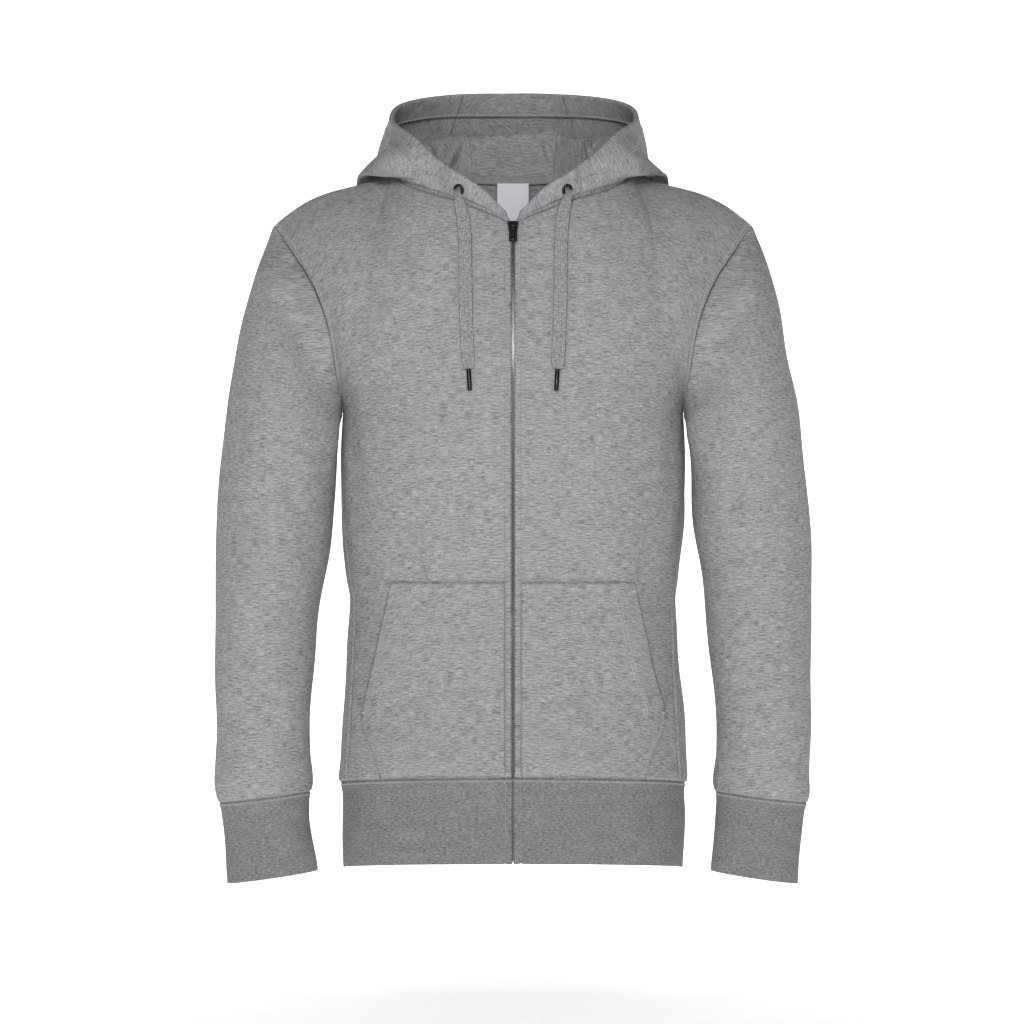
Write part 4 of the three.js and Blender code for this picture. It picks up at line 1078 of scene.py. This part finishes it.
def metal_material(name, colour, roughness):
    """Plated metal with small scratches and dull spots."""
    material, tree, shader = new_material(name, roughness)
    shader.inputs["Metallic"].default_value = 1.0
    shader.inputs["Base Color"].default_value = (*colour, 1)
    place = tree.nodes.new("ShaderNodeTexCoord")
    wear = noise(tree, scaled(tree, place.outputs["Object"], (1500, 1500, 400)), 4, 0.7)
    rough = math_node(tree, "ADD", math_node(tree, "MULTIPLY", wear, 0.3), roughness - 0.15)
    tree.links.new(rough, shader.inputs["Roughness"])
    add_bump(tree, shader, wear, 0.00006)
    return material


# Each row: colour, streaks per metre, their contrast, ribs and stitches per metre, relief in metres, roughness
CLOTHS = {
    "fleece": ((0.366, 0.369, 0.378), (115, 1050, 115), 1.0, 900, 1100, 0.00022, 0.95),
    "rib": ((0.272, 0.274, 0.283), (240, 900, 240), 0.9, 560, 900, 0.00045, 0.95),
    "braid": ((0.42, 0.423, 0.433), (300, 520, 300), 0.75, 620, 430, 0.0008, 0.95),
    "thread": ((0.54, 0.545, 0.555), (900, 900, 900), 0.2, 1600, 1600, 0.0001, 0.8),
    "plain_thread": ((0.38, 0.383, 0.392), (900, 900, 900), 0.2, 1600, 1600, 0.0001, 0.8),
    "woven_tape": ((0.37, 0.372, 0.38), (150, 1100, 150), 0.6, 1200, 1600, 0.0002, 0.95),
    # The zip tape's near-black colour is painted shade for the deep gap between the folded front edges and the
    # teeth
    "painted_shade_tape": ((0.05, 0.051, 0.054), (800, 800, 800), 0.3, 1200, 1600, 0.0002, 0.95),
    "satin": ((0.93, 0.95, 1.0), (300, 2600, 300), 0.03, 2600, 2600, 0.00004, 0.5),
}
cloths = {name: cloth_material(name, *row) for name, row in CLOTHS.items()}
fleece, rib, braid = cloths["fleece"], cloths["rib"], cloths["braid"]
thread, plain_thread = cloths["thread"], cloths["plain_thread"]
gunmetal = metal_material("gunmetal", (0.045, 0.046, 0.05), 0.3)
tooth_metal = metal_material("tooth_metal", (0.30, 0.302, 0.31), 0.28)
print("materials", [m.name for m in bpy.data.materials])

# %% [markdown]
# Now the cloth pieces. Each is a thin wall that replaces its plain solid and rides the garment's body. A sleeve
# or cuff is cut as one flat piece and sewn round, so its flat width is its whole way round.

# %% Cloth pieces
GARMENT = "garment"


def dress(name, kind, outer, inner, material, slot, closed=False, grain="up", rests_on=()):
    piece = add_wall(name + "_cloth", outer, inner, closed, grain)
    piece.data.materials.append(material)
    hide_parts(name)
    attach(piece, GARMENT)
    return piece


for name, outer, free in (("front_left", front_left, ("final",)), ("front_right", front_right, ("first",))):
    dress(name, "front", outer, inside_of(outer, FLEECE, free=free), fleece, "fleece")
dress("back", "back", back, inside_of(back, FLEECE), fleece, "fleece")
for name, outer in (("sleeve_left", sleeve_left), ("sleeve_right", sleeve_right)):
    dress(name, "sleeve", outer, inside_of(outer, FLEECE, True), fleece, "fleece", closed=True, grain="level")
for name, outer in (("cuff_left", cuff_left), ("cuff_right", cuff_right)):
    dress(name, "cuff", outer, inside_of(outer, FLEECE, True, ("bottom",)), rib, "rib", closed=True)
dress("waistband", "waistband", waistband, inside_of(waistband, FLEECE, free=("bottom",)), rib, "rib")

# %% Hood and pocket pieces
PANEL_HOLLOW = 0.7
PANEL_HOLLOW_WIDTH = 1.8
POCKET_HOLLOW_WIDTH = 1.6
POCKET_HEM = 25
POCKET_HEM_THICKER = 0.5
neck_calm = np.clip(edge_distance(plain_hood, "bottom") / WAVE_FADE, 0, 1) ** 2
hood_waves = waves(plain_hood, WAVE_SEED, WAVE_HEIGHT) * neck_calm
hood_waves -= hollow(edge_distance(plain_hood, "bottom"), SEAM_HOLLOW, SEAM_WIDTH)
hood_run = edge_distance(plain_hood, "first")
for seam_column in (panel_start, panel_end):
    seam_run = np.abs(hood_run - hood_run[:, [seam_column]])
    hood_waves -= hollow(seam_run, PANEL_HOLLOW, PANEL_HOLLOW_WIDTH)
waved_hood = neck_crease(plain_hood + normals_of(plain_hood) * hood_waves[..., None], "bottom")
hood = tucked(hemmed(wrinkled(waved_hood, hood_shares)))
hood_inner = inside_of(hood, FLEECE)
for name, kind, start, end, grain in (
    ("hood_right", "hood_side", 0, panel_start, "zip first"),
    ("hood_centre", "hood_centre", panel_start, panel_end, "up"),
    ("hood_left", "hood_side", panel_end, hood.shape[1] - 1, "zip last"),
):
    outer, inner = hood[:, start:end + 1], hood_inner[:, start:end + 1]
    dress(name, kind, outer, inner, fleece, "fleece", grain=grain)


def pocket_faces(side):
    """Outer and inner face of one pocket half, laid on its own front."""
    grid = plain_pocket if side > 0 else mirrored(plain_pocket)
    lift = pocket_lift if side > 0 else pocket_lift[:, ::-1]
    folded = creased(grid)
    out = normals_of(folded)
    calm = np.clip((grid[..., 2] - HEM_SEAM_Z) / WAVE_FADE, 0, 1) ** 2
    base = waves(grid, WAVE_SEED, WAVE_HEIGHT) * calm + lift
    mouth, sewn = ("first", "final") if side > 0 else ("final", "first")
    top = base + POCKET_CLOTH
    seams = [hollow(edge_distance(folded, edge), PANEL_HOLLOW, POCKET_HOLLOW_WIDTH) for edge in (sewn, "top")]
    top -= seams[0] + seams[1]
    top -= 0.8 * edge_round(folded, mouth)
    in_hem = POCKET_HEM_THICKER / (1 + np.exp((edge_distance(folded, mouth) - POCKET_HEM) / 0.8))
    top += in_hem * np.clip(edge_distance(folded, "bottom") / 60, 0, 1)
    return folded + out * top[..., None], folded + out * base[..., None]


pocket_left = pocket_faces(1)
pocket_right = pocket_faces(-1)
dress("pocket_left", "pocket", *pocket_left, fleece, "fleece", rests_on=("front_left_cloth",))
dress("pocket_right", "pocket", *pocket_right, fleece, "fleece", rests_on=("front_right_cloth",))

# %% [markdown]
# Sewing shows as rows of short raised threads. A straight stitch is one small bar for each step of the
# needle. The seams here are covered with two or three rows side by side, and on the ribs the covering
# thread zigzags between its rows. Every row follows a line on the finished surface of its piece, so it lies
# in the same creases as the cloth.


# %% Stitch rows
STITCH_STEP = 2.9
STITCH_LENGTH = 2.3
STITCH_RADIUS = 0.42
STITCH_SIDES = 4
STITCH_LIFT = 0.28
ZIGZAG_LIFT = 0.35
# Rings of one stitch: its share of the length, its share of the radius and its share of the lift
STITCH_RINGS = [(0, 0.45, -0.25), (0.14, 0.9, 0.55), (0.5, 1.0, 1.0), (0.86, 0.9, 0.55), (1, 0.45, -0.25)]


def even_steps(points, outs, step):
    """A line and its outward directions, read again at even steps along it."""
    run = np.r_[0, np.cumsum(np.linalg.norm(np.diff(points, axis=0), axis=1))]
    at = np.linspace(0, run[-1], max(int(run[-1] / step), 2) + 1)
    read = [np.stack([np.interp(at, run, rows[:, axis]) for axis in range(3)], -1) for rows in (points, outs)]
    return read[0], unit(read[1])


def bars(starts, ends, outs, radius, lift):
    """Small rounded bars from starts to ends, sunk into the cloth at both ends."""
    along = unit(ends - starts)
    side = unit(np.cross(along, outs))
    up = np.cross(side, along)
    rows = []
    for share, size, height in STITCH_RINGS:
        centre = starts + (ends - starts) * share + outs * (lift * height)
        for k in range(STITCH_SIDES):
            angle = 2 * math.pi * k / STITCH_SIDES
            rows.append(centre + radius * size * (side * math.cos(angle) + up * math.sin(angle)))
    points = np.stack(rows, 1)
    last = (len(STITCH_RINGS) - 1) * STITCH_SIDES
    around = grid_faces(len(STITCH_RINGS), STITCH_SIDES, True)
    faces = np.concatenate([around, [(0, 1, 2, 3), (last + 3, last + 2, last + 1, last)]])
    offsets = (np.arange(len(starts)) * points.shape[1])[:, None, None]
    return points.reshape(-1, 3), (faces[None] + offsets).reshape(-1, 4)


def straight_row(points, outs, step=STITCH_STEP, length=STITCH_LENGTH, radius=STITCH_RADIUS):
    line, up = even_steps(points, outs, step)
    ahead = unit(line[1:] - line[:-1])
    middle = (line[1:] + line[:-1]) / 2
    return bars(middle - ahead * length / 2, middle + ahead * length / 2, up[:-1], radius, STITCH_LIFT)


def zigzag_row(points, outs, half=1.1, step=1.5, radius=0.33):
    line, up = even_steps(points, outs, step)
    side = unit(np.cross(unit(np.gradient(line, axis=0)), up))
    swing = (-1.0) ** np.arange(len(line))
    ends = line + side * (half * swing)[:, None]
    return bars(ends[:-1], ends[1:], up[:-1], radius, ZIGZAG_LIFT)


def joined(parts):
    """Several meshes of points and faces as one."""
    start = np.cumsum([0] + [len(points) for points, _ in parts[:-1]])
    return np.concatenate([p for p, _ in parts]), np.concatenate([f + s for (_, f), s in zip(parts, start)])


def near_edge(grid, edge, distance, closed=False):
    """The line on a grid at one distance from one of its edges, with its outward directions."""
    outs = normals_of(grid, closed)
    if edge in ("first", "final"):
        grid, outs = grid.transpose(1, 0, 2), outs.transpose(1, 0, 2)
    if edge in ("bottom", "final"):
        grid, outs = grid[::-1], outs[::-1]
    run = lengths(grid, 0)
    points, ups = np.empty(grid.shape[1:]), np.empty(grid.shape[1:])
    for j in range(grid.shape[1]):
        for axis in range(3):
            points[j, axis] = np.interp(distance, run[:, j], grid[:, j, axis])
            ups[j, axis] = np.interp(distance, run[:, j], outs[:, j, axis])
    if closed and edge in ("top", "bottom"):
        points, ups = np.concatenate([points, points[:1]]), np.concatenate([ups, ups[:1]])
    return points, unit(ups)


def part_of(line, start, end):
    return line[0][start:end], line[1][start:end]


def sewing(name, parts, material=None):
    points, faces = joined(parts)
    piece = add_mesh(name, points, faces, points * MM)
    piece.data.materials.append(material or thread)
    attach(piece, GARMENT)
    print(name, len(faces) * 2, "triangles")
    return piece


print("stitch helpers ready")

# %% Seams of the body and the sleeves
ARMHOLE_ROWS = (1.9, 5.2)
ZIP_STITCH = dict(step=2.7, length=2.2, radius=0.38)
body_parts, plain_parts = [], []
for outer, side_edge in ((front_left, "first"), (front_right, "final")):
    for distance in ARMHOLE_ROWS:
        line = near_edge(outer, side_edge, distance)
        body_parts.append(straight_row(*part_of(line, 0, HIGH_ROWS + 1)))
    zip_edge = "final" if side_edge == "first" else "first"
    plain_parts.append(straight_row(*near_edge(outer, zip_edge, TOPSTITCH_IN), **ZIP_STITCH))
    body_parts.append(zigzag_row(*near_edge(outer, "bottom", 2.6)))
for distance in ARMHOLE_ROWS:
    for edge in ("first", "final"):
        body_parts.append(straight_row(*part_of(near_edge(back, edge, distance), 0, HIGH_ROWS + 1)))
for edge in ("first", "final"):
    side_line = part_of(near_edge(back, edge, 2.2), HIGH_ROWS + 1, None)
    body_parts.append(zigzag_row(*side_line, half=0.9, step=1.7))
body_parts.append(straight_row(*near_edge(back, "top", 5.6)))
body_parts.append(zigzag_row(*near_edge(back, "bottom", 2.6)))
body_parts.append(zigzag_row(*near_edge(waistband, "top", 2.4)))
for edge in ("first", "final"):
    plain_parts.append(straight_row(*near_edge(waistband, edge, TOPSTITCH_IN), **ZIP_STITCH))
sewing("body_sewing", body_parts)
sewing("zip_sewing", plain_parts, plain_thread)

sleeve_parts = []
for sleeve, cuff in ((sleeve_left, cuff_left), (sleeve_right, cuff_right)):
    sleeve_parts.append(zigzag_row(*near_edge(sleeve, "bottom", 2.4, True)))
    sleeve_parts.append(zigzag_row(*near_edge(cuff, "top", 2.2, True)))
sewing("sleeve_sewing", sleeve_parts)

# %% Seams of the hood and the pockets
hood_parts = []
outer_hood = hood[HEM_ROWS:]
for distance in (20.5, 23.5):
    hem_line = near_edge(outer_hood, "top", distance)
    run = lengths(outer_hood, 0)[-1]
    wide = np.flatnonzero(run > distance + 4)
    hood_parts.append(straight_row(*part_of(hem_line, wide[0], wide[-1] + 1)))
lining = hood_inner[HEM_ROWS:]
run = lengths(lining, 0)[-1]
wide = np.flatnonzero(run > 60)
points, outs = near_edge(lining, "top", HOOD_HEM_WIDTH + 1.4)
for line in ((points, -outs), near_edge(hood[:HEM_BACK_ROWS], "top", 2.0)):
    hood_parts.append(zigzag_row(*part_of(line, wide[0], wide[-1] + 1), half=1.2))
for start, end, edge in ((0, panel_start, "final"), (panel_end, hood.shape[1] - 1, "first")):
    panel = outer_hood[:, start:end + 1]
    for distance in (2.0, 4.6):
        hood_parts.append(straight_row(*near_edge(panel, edge, distance)))
sewing("hood_sewing", hood_parts)

MOUTH_ROWS = (23.0, 26.6)
SIDE_ROWS = (1.8, 5.0)
MOUTH_SHARE = 0.68
BARTACK_SHARE = 0.66
POCKET_THREAD = 0.34
pocket_parts, top_parts = [], []
for outer, mouth in ((pocket_left[0], "first"), (pocket_right[0], "final")):
    mouth_end = int(POCKET_ROWS * MOUTH_SHARE)
    for distances, start, end in ((MOUTH_ROWS, 2, mouth_end), (SIDE_ROWS, mouth_end, POCKET_ROWS - 2)):
        for distance in distances:
            line = part_of(near_edge(outer, mouth, distance), start, end)
            pocket_parts.append(straight_row(*line, radius=POCKET_THREAD))
    top_parts.append(straight_row(*near_edge(outer, "top", 1.8)))
    for row in (4, int(POCKET_ROWS * BARTACK_SHARE)):
        line = near_edge(outer, mouth, 1.5)
        start, up = line[0][row], line[1][row]
        inner = near_edge(outer, mouth, 7.5)[0][row]
        ends = np.stack([start, inner])
        for shift in (-0.7, 0, 0.7):
            pocket_parts.append(zigzag_row(ends + (0, 0, shift), np.stack([up, up]), half=0.5, step=0.7))
sewing("pocket_sewing", pocket_parts)
sewing("pocket_top_sewing", top_parts, plain_thread)

# %% [markdown]
# The drawcord is a flat braid. It comes out of the eyelet, turns over its lower edge and hangs down the
# chest, and its end is crimped into a metal tip. The route is the one that the plain model uses, given as
# points that follow the chest.

# %% Drawcords and tips
CORD_WIDE = 13.0
CORD_THICK = 2.6
TIP_LENGTH = 21.0
TIP_RADIUS = 2.3
LAY_GAP = 0.35
CORD_SIDES = 28
CORD_STEPS = 170
# Radii and heights of the tip, from the cord down
TIP_PROFILE = [
    (0.02, 0), (1.9, 0), (2.2, 0.35), (TIP_RADIUS, 0.9), (TIP_RADIUS, 1.6), (2.1, 2.0), (TIP_RADIUS, 2.4),
    (TIP_RADIUS, 19.4), (2.15, 20.3), (1.7, 20.9), (1.3, TIP_LENGTH), (0.02, TIP_LENGTH - 0.2),
]
CORD_ROUTE = np.array([
    (54.2, -81.1, -10.3),
    (54.9, -83.2, -11.1),
    (54.8, -85.0, -13.8),
    (53.7, -86.2, -18.4),
    (51.8, -87.2, -25.0),
    (49.7, -88.6, -33.0),
    (48.3, -91.6, -44.0),
    (47.3, -95.4, -58.0),
    (46.8, -99.8, -74.5),
    (46.6, -104.0, -92.0),
    (46.4, -107.8, -110.0),
    (46.0, -110.8, -129.0),
    (45.4, -113.2, -148.5),
    (44.5, -115.0, -168.0),
    (43.4, -116.5, -187.3),
])


def tube_points(line, sides, across, section):
    """A closed skin round a line: section gives the two offsets of each side at a share along the line."""
    ahead = unit(np.gradient(line, axis=0))
    side = unit(np.broadcast_to(across, line.shape) - ahead * (ahead @ across)[:, None])
    up = np.cross(side, ahead)
    rows = []
    for i, share in enumerate(np.linspace(0, 1, len(line))):
        offsets = section(share)
        rows.append(line[i] + offsets[:, :1] * side[i] + offsets[:, 1:] * up[i])
    points = np.array(rows)
    faces = grid_faces(len(line), sides, True)
    caps = []
    for base, step in ((0, 1), ((len(line) - 1) * sides, -1)):
        for k in range(sides // 2 - 1):
            quad = (base + k, base + sides - 1 - k, base + sides - 2 - k, base + k + 1)
            caps.append(quad[::-1] if step > 0 else quad)
    return points, np.concatenate([faces, np.array(caps)])


def flat_section(share):
    """The braid's rounded flat section, pinched a little where it enters the eyelet and the tip."""
    angle = np.linspace(0, 2 * math.pi, CORD_SIDES, endpoint=False)
    pinch = 1 - 0.5 * math.exp(-((share / 0.09) ** 2)) - 0.4 * math.exp(-(((1 - share) / 0.02) ** 2))
    wide = np.sign(np.cos(angle)) * np.abs(np.cos(angle)) ** 0.6 * CORD_WIDE / 2 * pinch
    return np.stack([wide, np.sin(angle) * CORD_THICK / 2], -1)


def lathe(profile, sides, centre, axis):
    """A turned solid from radii and heights, its axis pointing along the given direction."""
    turn = Vector((0, 0, 1)).rotation_difference(Vector(axis)).to_matrix()
    turn = np.array([list(row) for row in turn])
    angle = np.linspace(0, 2 * math.pi, sides, endpoint=False)
    rows = np.array([[(r * math.cos(a), r * math.sin(a), h) for a in angle] for r, h in profile])
    points = rows @ turn.T + centre
    return points, grid_faces(len(profile), sides, True)[:, ::-1]


def set_piece(piece, material, slot, body=GARMENT, *nodes):
    piece.data.materials.append(material)
    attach(piece, body)
    if nodes:
        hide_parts(*nodes)
    return piece


cord_run = np.r_[0, np.cumsum(np.linalg.norm(np.diff(CORD_ROUTE, axis=0), axis=1))]
cord_line = smooth(cord_run, CORD_ROUTE, np.linspace(0, cord_run[-1], CORD_STEPS))
cord_length = float(np.linalg.norm(np.diff(cord_line, axis=0), axis=1).sum())
tip_down = unit(cord_line[-1] - cord_line[-3])
for side, hand in (("left", 1), ("right", -1)):
    route = cord_line * (hand, 1, 1)
    points, faces = tube_points(route, CORD_SIDES, np.array([1.0, 0, 0]), flat_section)
    along = np.broadcast_to(np.linspace(0, cord_length, len(route))[:, None], points.shape[:2]) * MM
    across = np.broadcast_to(flat_section(0.5)[None, :, 0], points.shape[:2]) * MM
    cord = add_mesh("cord_" + side + "_braid", points, faces, np.stack([across, along, 0 * along], -1))
    set_piece(cord, braid, "cord", GARMENT, "cord_" + side)
    start = cord_line[-1] + tip_down * LAY_GAP
    tip_mesh = lathe(TIP_PROFILE, CORD_SIDES, start * (hand, 1, 1), tip_down * (hand, 1, 1))
    tip = add_mesh("tip_" + side + "_metal", *tip_mesh)
    set_piece(tip, gunmetal, "metal", GARMENT, "tip_" + side)
print("cord length", round(cord_length, 1), "mm")

# %% [markdown]
# The eyelets are brass rings pressed through the hood's hem and plated dark. The zip has metal teeth on a
# woven tape. The left and right teeth stand in turn, so the closed chain looks like a fine chequer.

# %% Eyelets
EYELET_CENTRE = np.array([53.34, -79.09, -9.72])
EYELET_OUT = np.array([0.375, -0.890, -0.259])
# Radii and heights of the ring, from its bore over its face to its outer edge
EYELET_PROFILE = [
    (2.6, -1.2), (2.6, 0.6), (2.8, 0.95), (3.3, 1.1), (4.1, 1.1),
    (4.9, 0.9), (5.5, 0.5), (5.8, 0.05), (5.8, -0.3), (2.6, -1.2),
]
for side, hand in (("left", 1), ("right", -1)):
    out = unit(EYELET_OUT) * (hand, 1, 1)
    centre = EYELET_CENTRE * (hand, 1, 1) + out * LAY_GAP
    eyelet = add_mesh("eyelet_" + side + "_ring", *lathe(EYELET_PROFILE, 40, centre, out))
    set_piece(eyelet, gunmetal, "metal", GARMENT, "eyelet_" + side)
print("eyelets", 2)

# %% Zip teeth and tapes
TOOTH_STEP = 1.27
TOOTH_HALF_WIDTH = 0.95
TOOTH_OFFSET = 0.6
TOOTH_HALF_HEIGHT = 0.42
TOOTH_BEHIND = -1.7
TOOTH_FACE = 0.35
BAND_DEPTH = 0.8
fronts_edge = (front_left[:, -1] + front_right[:, 0]) / 2
band_edge = (waistband[1:, 0] + waistband[1:, -1]) / 2
zip_line = np.concatenate([fronts_edge, band_edge])
zip_line[:, 0] = 0
zip_ahead = unit(np.gradient(zip_line, axis=0))
zip_out = np.stack([np.zeros(len(zip_line)), zip_ahead[:, 2], -zip_ahead[:, 1]], -1)


def tooth_boxes(line, outs):
    """Teeth in turn on the left and the right, each a small block with its corners cut."""
    ahead = unit(np.gradient(line, axis=0))
    x = np.array([1.0, 0, 0])
    offset = TOOTH_OFFSET * (-1.0) ** np.arange(len(line))
    rows = []
    for out, shrink in ((TOOTH_BEHIND, 1.0), (0.0, 1.0), (TOOTH_FACE, 0.72)):
        for sx, sz in ((-1, -1), (1, -1), (1, 1), (-1, 1)):
            place = line + outs * out + ahead * (sz * TOOTH_HALF_HEIGHT * shrink)
            rows.append(place + x * (offset + sx * TOOTH_HALF_WIDTH * (0.5 + 0.5 * shrink))[:, None])
    points = np.stack(rows, 1)
    faces = [(0, 1, 2, 3), (8, 11, 10, 9)]
    for base in (0, 4):
        faces += [(base + k, base + 4 + k, base + 4 + (k + 1) % 4, base + (k + 1) % 4) for k in range(4)]
    faces = np.array(faces)
    offsets = (np.arange(len(line)) * 12)[:, None, None]
    return points.reshape(-1, 3), (faces[None] + offsets).reshape(-1, 4)


tooth_line, tooth_outs = even_steps(zip_line, zip_out, TOOTH_STEP)
in_band = np.clip((HEM_SEAM_Z + 14 - tooth_line[:, 2]) / 8, 0, 1)
tooth_line = tooth_line - tooth_outs * (BAND_DEPTH * in_band)[:, None]
tooth_line, tooth_outs = tooth_line[:-3], tooth_outs[:-3]
teeth = add_mesh("zip_teeth", *tooth_boxes(tooth_line, tooth_outs), sharp=True)
set_piece(teeth, tooth_metal, "metal", GARMENT, "zip_chain")
TAPE_DEPTH = -FLEECE - LAY_GAP
TAPE_WIDE = 13.0
TAPE_CLOTH = 0.8
# The tapes use the near-black cloth, whose colour is painted shade between the folded front edges and the teeth
for side, hand in (("left", 1), ("right", -1)):
    x = np.linspace(TAPE_WIDE, 0.2, 14) if hand > 0 else np.linspace(-0.2, -TAPE_WIDE, 14)
    bend = 0.8 * (np.abs(x) / TAPE_WIDE)
    face = zip_line[:, None] + zip_out[:, None] * (TAPE_DEPTH - bend)[None, :, None]
    face = face + np.stack([x, 0 * x, 0 * x], -1)[None]
    under = face - zip_out[:, None] * TAPE_CLOTH
    tape = add_wall("zip_tape_" + side + "_woven", face, under)
    set_piece(tape, cloths["painted_shade_tape"], "tape", GARMENT, "zip_tape_" + side)
print("teeth", len(tooth_line))

# %% Slider and pull
# The plain slider and pull keep their form and get rounded edges
def rounded_copy(node, name, radius, body):
    source = bpy.data.objects[node]
    mesh = source.data.copy()
    mesh.materials.clear()
    form = bmesh.new()
    form.from_mesh(mesh)
    bmesh.ops.remove_doubles(form, verts=form.verts, dist=1e-6)
    bmesh.ops.dissolve_limit(form, angle_limit=math.radians(2), verts=form.verts, edges=form.edges)
    form.to_mesh(mesh)
    form.free()
    piece = new_object(name, mesh)
    bevel = piece.modifiers.new("rounding", "BEVEL")
    bevel.width = radius * MM
    bevel.segments = 2
    bevel.limit_method = "ANGLE"
    bevel.angle_limit = math.radians(40)
    mesh.polygons.foreach_set("use_smooth", np.zeros(len(mesh.polygons), bool))
    return set_piece(piece, gunmetal, "metal", body, node)


rounded_copy("zip_slider", "slider_metal", 0.3, GARMENT)
rounded_copy("zip_pull", "pull_metal", 0.25, "pull")
print("slider and pull rounded")

# %% [markdown]
# A tape covers the back neck seam inside, and a plain satin label is sewn under its lower edge.

# %% Neck tape and label
TAPE_THICK = 1.1
TAPE_FROM_AROUND = 0.725
TAPE_HALF_HIGH = 4.5
LABEL_HALF_WIDE = 16.5
LABEL_TOP_Z = 6
LABEL_LENGTH = 48
LABEL_THICK = 1.0
neck_row = plain_hood[-1]
neck_line = neck_row[np.abs(hood_around) >= TAPE_FROM_AROUND]
heights = np.linspace(TAPE_HALF_HIGH, -TAPE_HALF_HIGH, 10)[:, None, None] * np.array([0, 0, 1.0])
neck_grid = neck_line[None] + heights
neck_out = normals_of(neck_grid)
tape_inner = TAPE_DEPTH - TAPE_THICK
neck_tape = add_wall("neck_tape_woven", neck_grid + neck_out * TAPE_DEPTH, neck_grid + neck_out * tape_inner)
set_piece(neck_tape, cloths["woven_tape"], "tape", GARMENT, "neck_tape")
label_x = np.linspace(-LABEL_HALF_WIDE, LABEL_HALF_WIDE, 24)
x, z = np.meshgrid(label_x, LABEL_TOP_Z - LABEL_LENGTH * np.linspace(0, 1, 40))
label_grid = np.stack([x, neck_row[len(neck_row) // 2][1] - x * x * 0.0035, z], -1)
label_out = normals_of(label_grid)
label_depth = tape_inner - LAY_GAP
label_inner = label_grid + label_out * (label_depth - LABEL_THICK)
label = add_wall("neck_label_satin", label_grid + label_out * label_depth, label_inner)
set_piece(label, cloths["satin"], "label", GARMENT, "neck_label")
neck_parts = []
for height in (3.4, -3.4):
    line = neck_line + (0, 0, height)
    neck_parts.append(straight_row(line + neck_out[0] * tape_inner, -neck_out[0], radius=0.25))
sewing("neck_sewing", neck_parts, plain_thread)

# %% [markdown]
# A pale studio: a floor that curves up into a wall far behind the garment, a soft key light and a weaker fill
# beside the camera, and a dim even light all round, so that the sides of the garment fall off to a darker
# grey. The wall glows a little and has a light of its own, and so it stays white. It stands further off than
# the camera does, so that the garment can be looked at from behind as well.

# %% Studio
FLOOR_Z = -0.80
FLOOR_REACH = 9000
WALL_Y = 7000
WALL_CURVE = 1500
WALL_GLOW = 0.52
WORLD_LIGHT = 0.09
# Each row: the light's place, what it points at, its size in metres and its power in watts
LIGHTS = {
    "key": ((-0.35, -4.0, 1.2), (0, 0, -0.25), 1.3, 79),
    "fill": ((0.6, -4.0, 0.3), (0, 0, -0.35), 1.3, 16),
    "wall_light": ((0, 1.8, 2.8), (0, 6.5, -0.3), 3.5, 300),
}


def area_light(name, place, target, size, power):
    light = bpy.data.lights.new(name, "AREA")
    light.shape = "SQUARE"
    light.size = size
    light.energy = power
    lamp = new_object(name, light)
    lamp.location = place
    lamp.rotation_euler = (Vector(target) - Vector(place)).to_track_quat("-Z", "Y").to_euler()


def backdrop():
    """A floor that runs back and curves up into a wall."""
    foot = WALL_Y - WALL_CURVE
    angles = np.radians(np.linspace(0, 90, 16))
    curve = [(foot + WALL_CURVE * math.sin(a), WALL_CURVE - WALL_CURVE * math.cos(a)) for a in angles]
    profile = [(-FLOOR_REACH, 0)] + curve + [(WALL_Y, FLOOR_REACH)]
    across = (-FLOOR_REACH, 0, FLOOR_REACH)
    rows = np.array([[(x, y, z + FLOOR_Z / MM) for x in across] for y, z in profile], float)
    piece = add_mesh("backdrop", rows, grid_faces(len(profile), 3, False)[:, ::-1])
    material, _, shader = new_material("backdrop_paint", 0.9)
    shader.inputs["Base Color"].default_value = (0.93, 0.93, 0.93, 1)
    shader.inputs["Emission Color"].default_value = (1, 1, 1, 1)
    shader.inputs["Emission Strength"].default_value = WALL_GLOW
    piece.data.materials.append(material)


backdrop()
for name, row in LIGHTS.items():
    area_light(name, *row)
world = bpy.context.scene.world or bpy.data.worlds.new("world")
bpy.context.scene.world = world
world.use_nodes = True
sky = world.node_tree.nodes.get("Background") or world.node_tree.nodes.new("ShaderNodeBackground")
sky.inputs["Color"].default_value = (1.0, 1.0, 1.0, 1)
sky.inputs["Strength"].default_value = WORLD_LIGHT
bpy.context.scene.view_settings.view_transform = "Standard"
print("lights", len(bpy.data.lights))
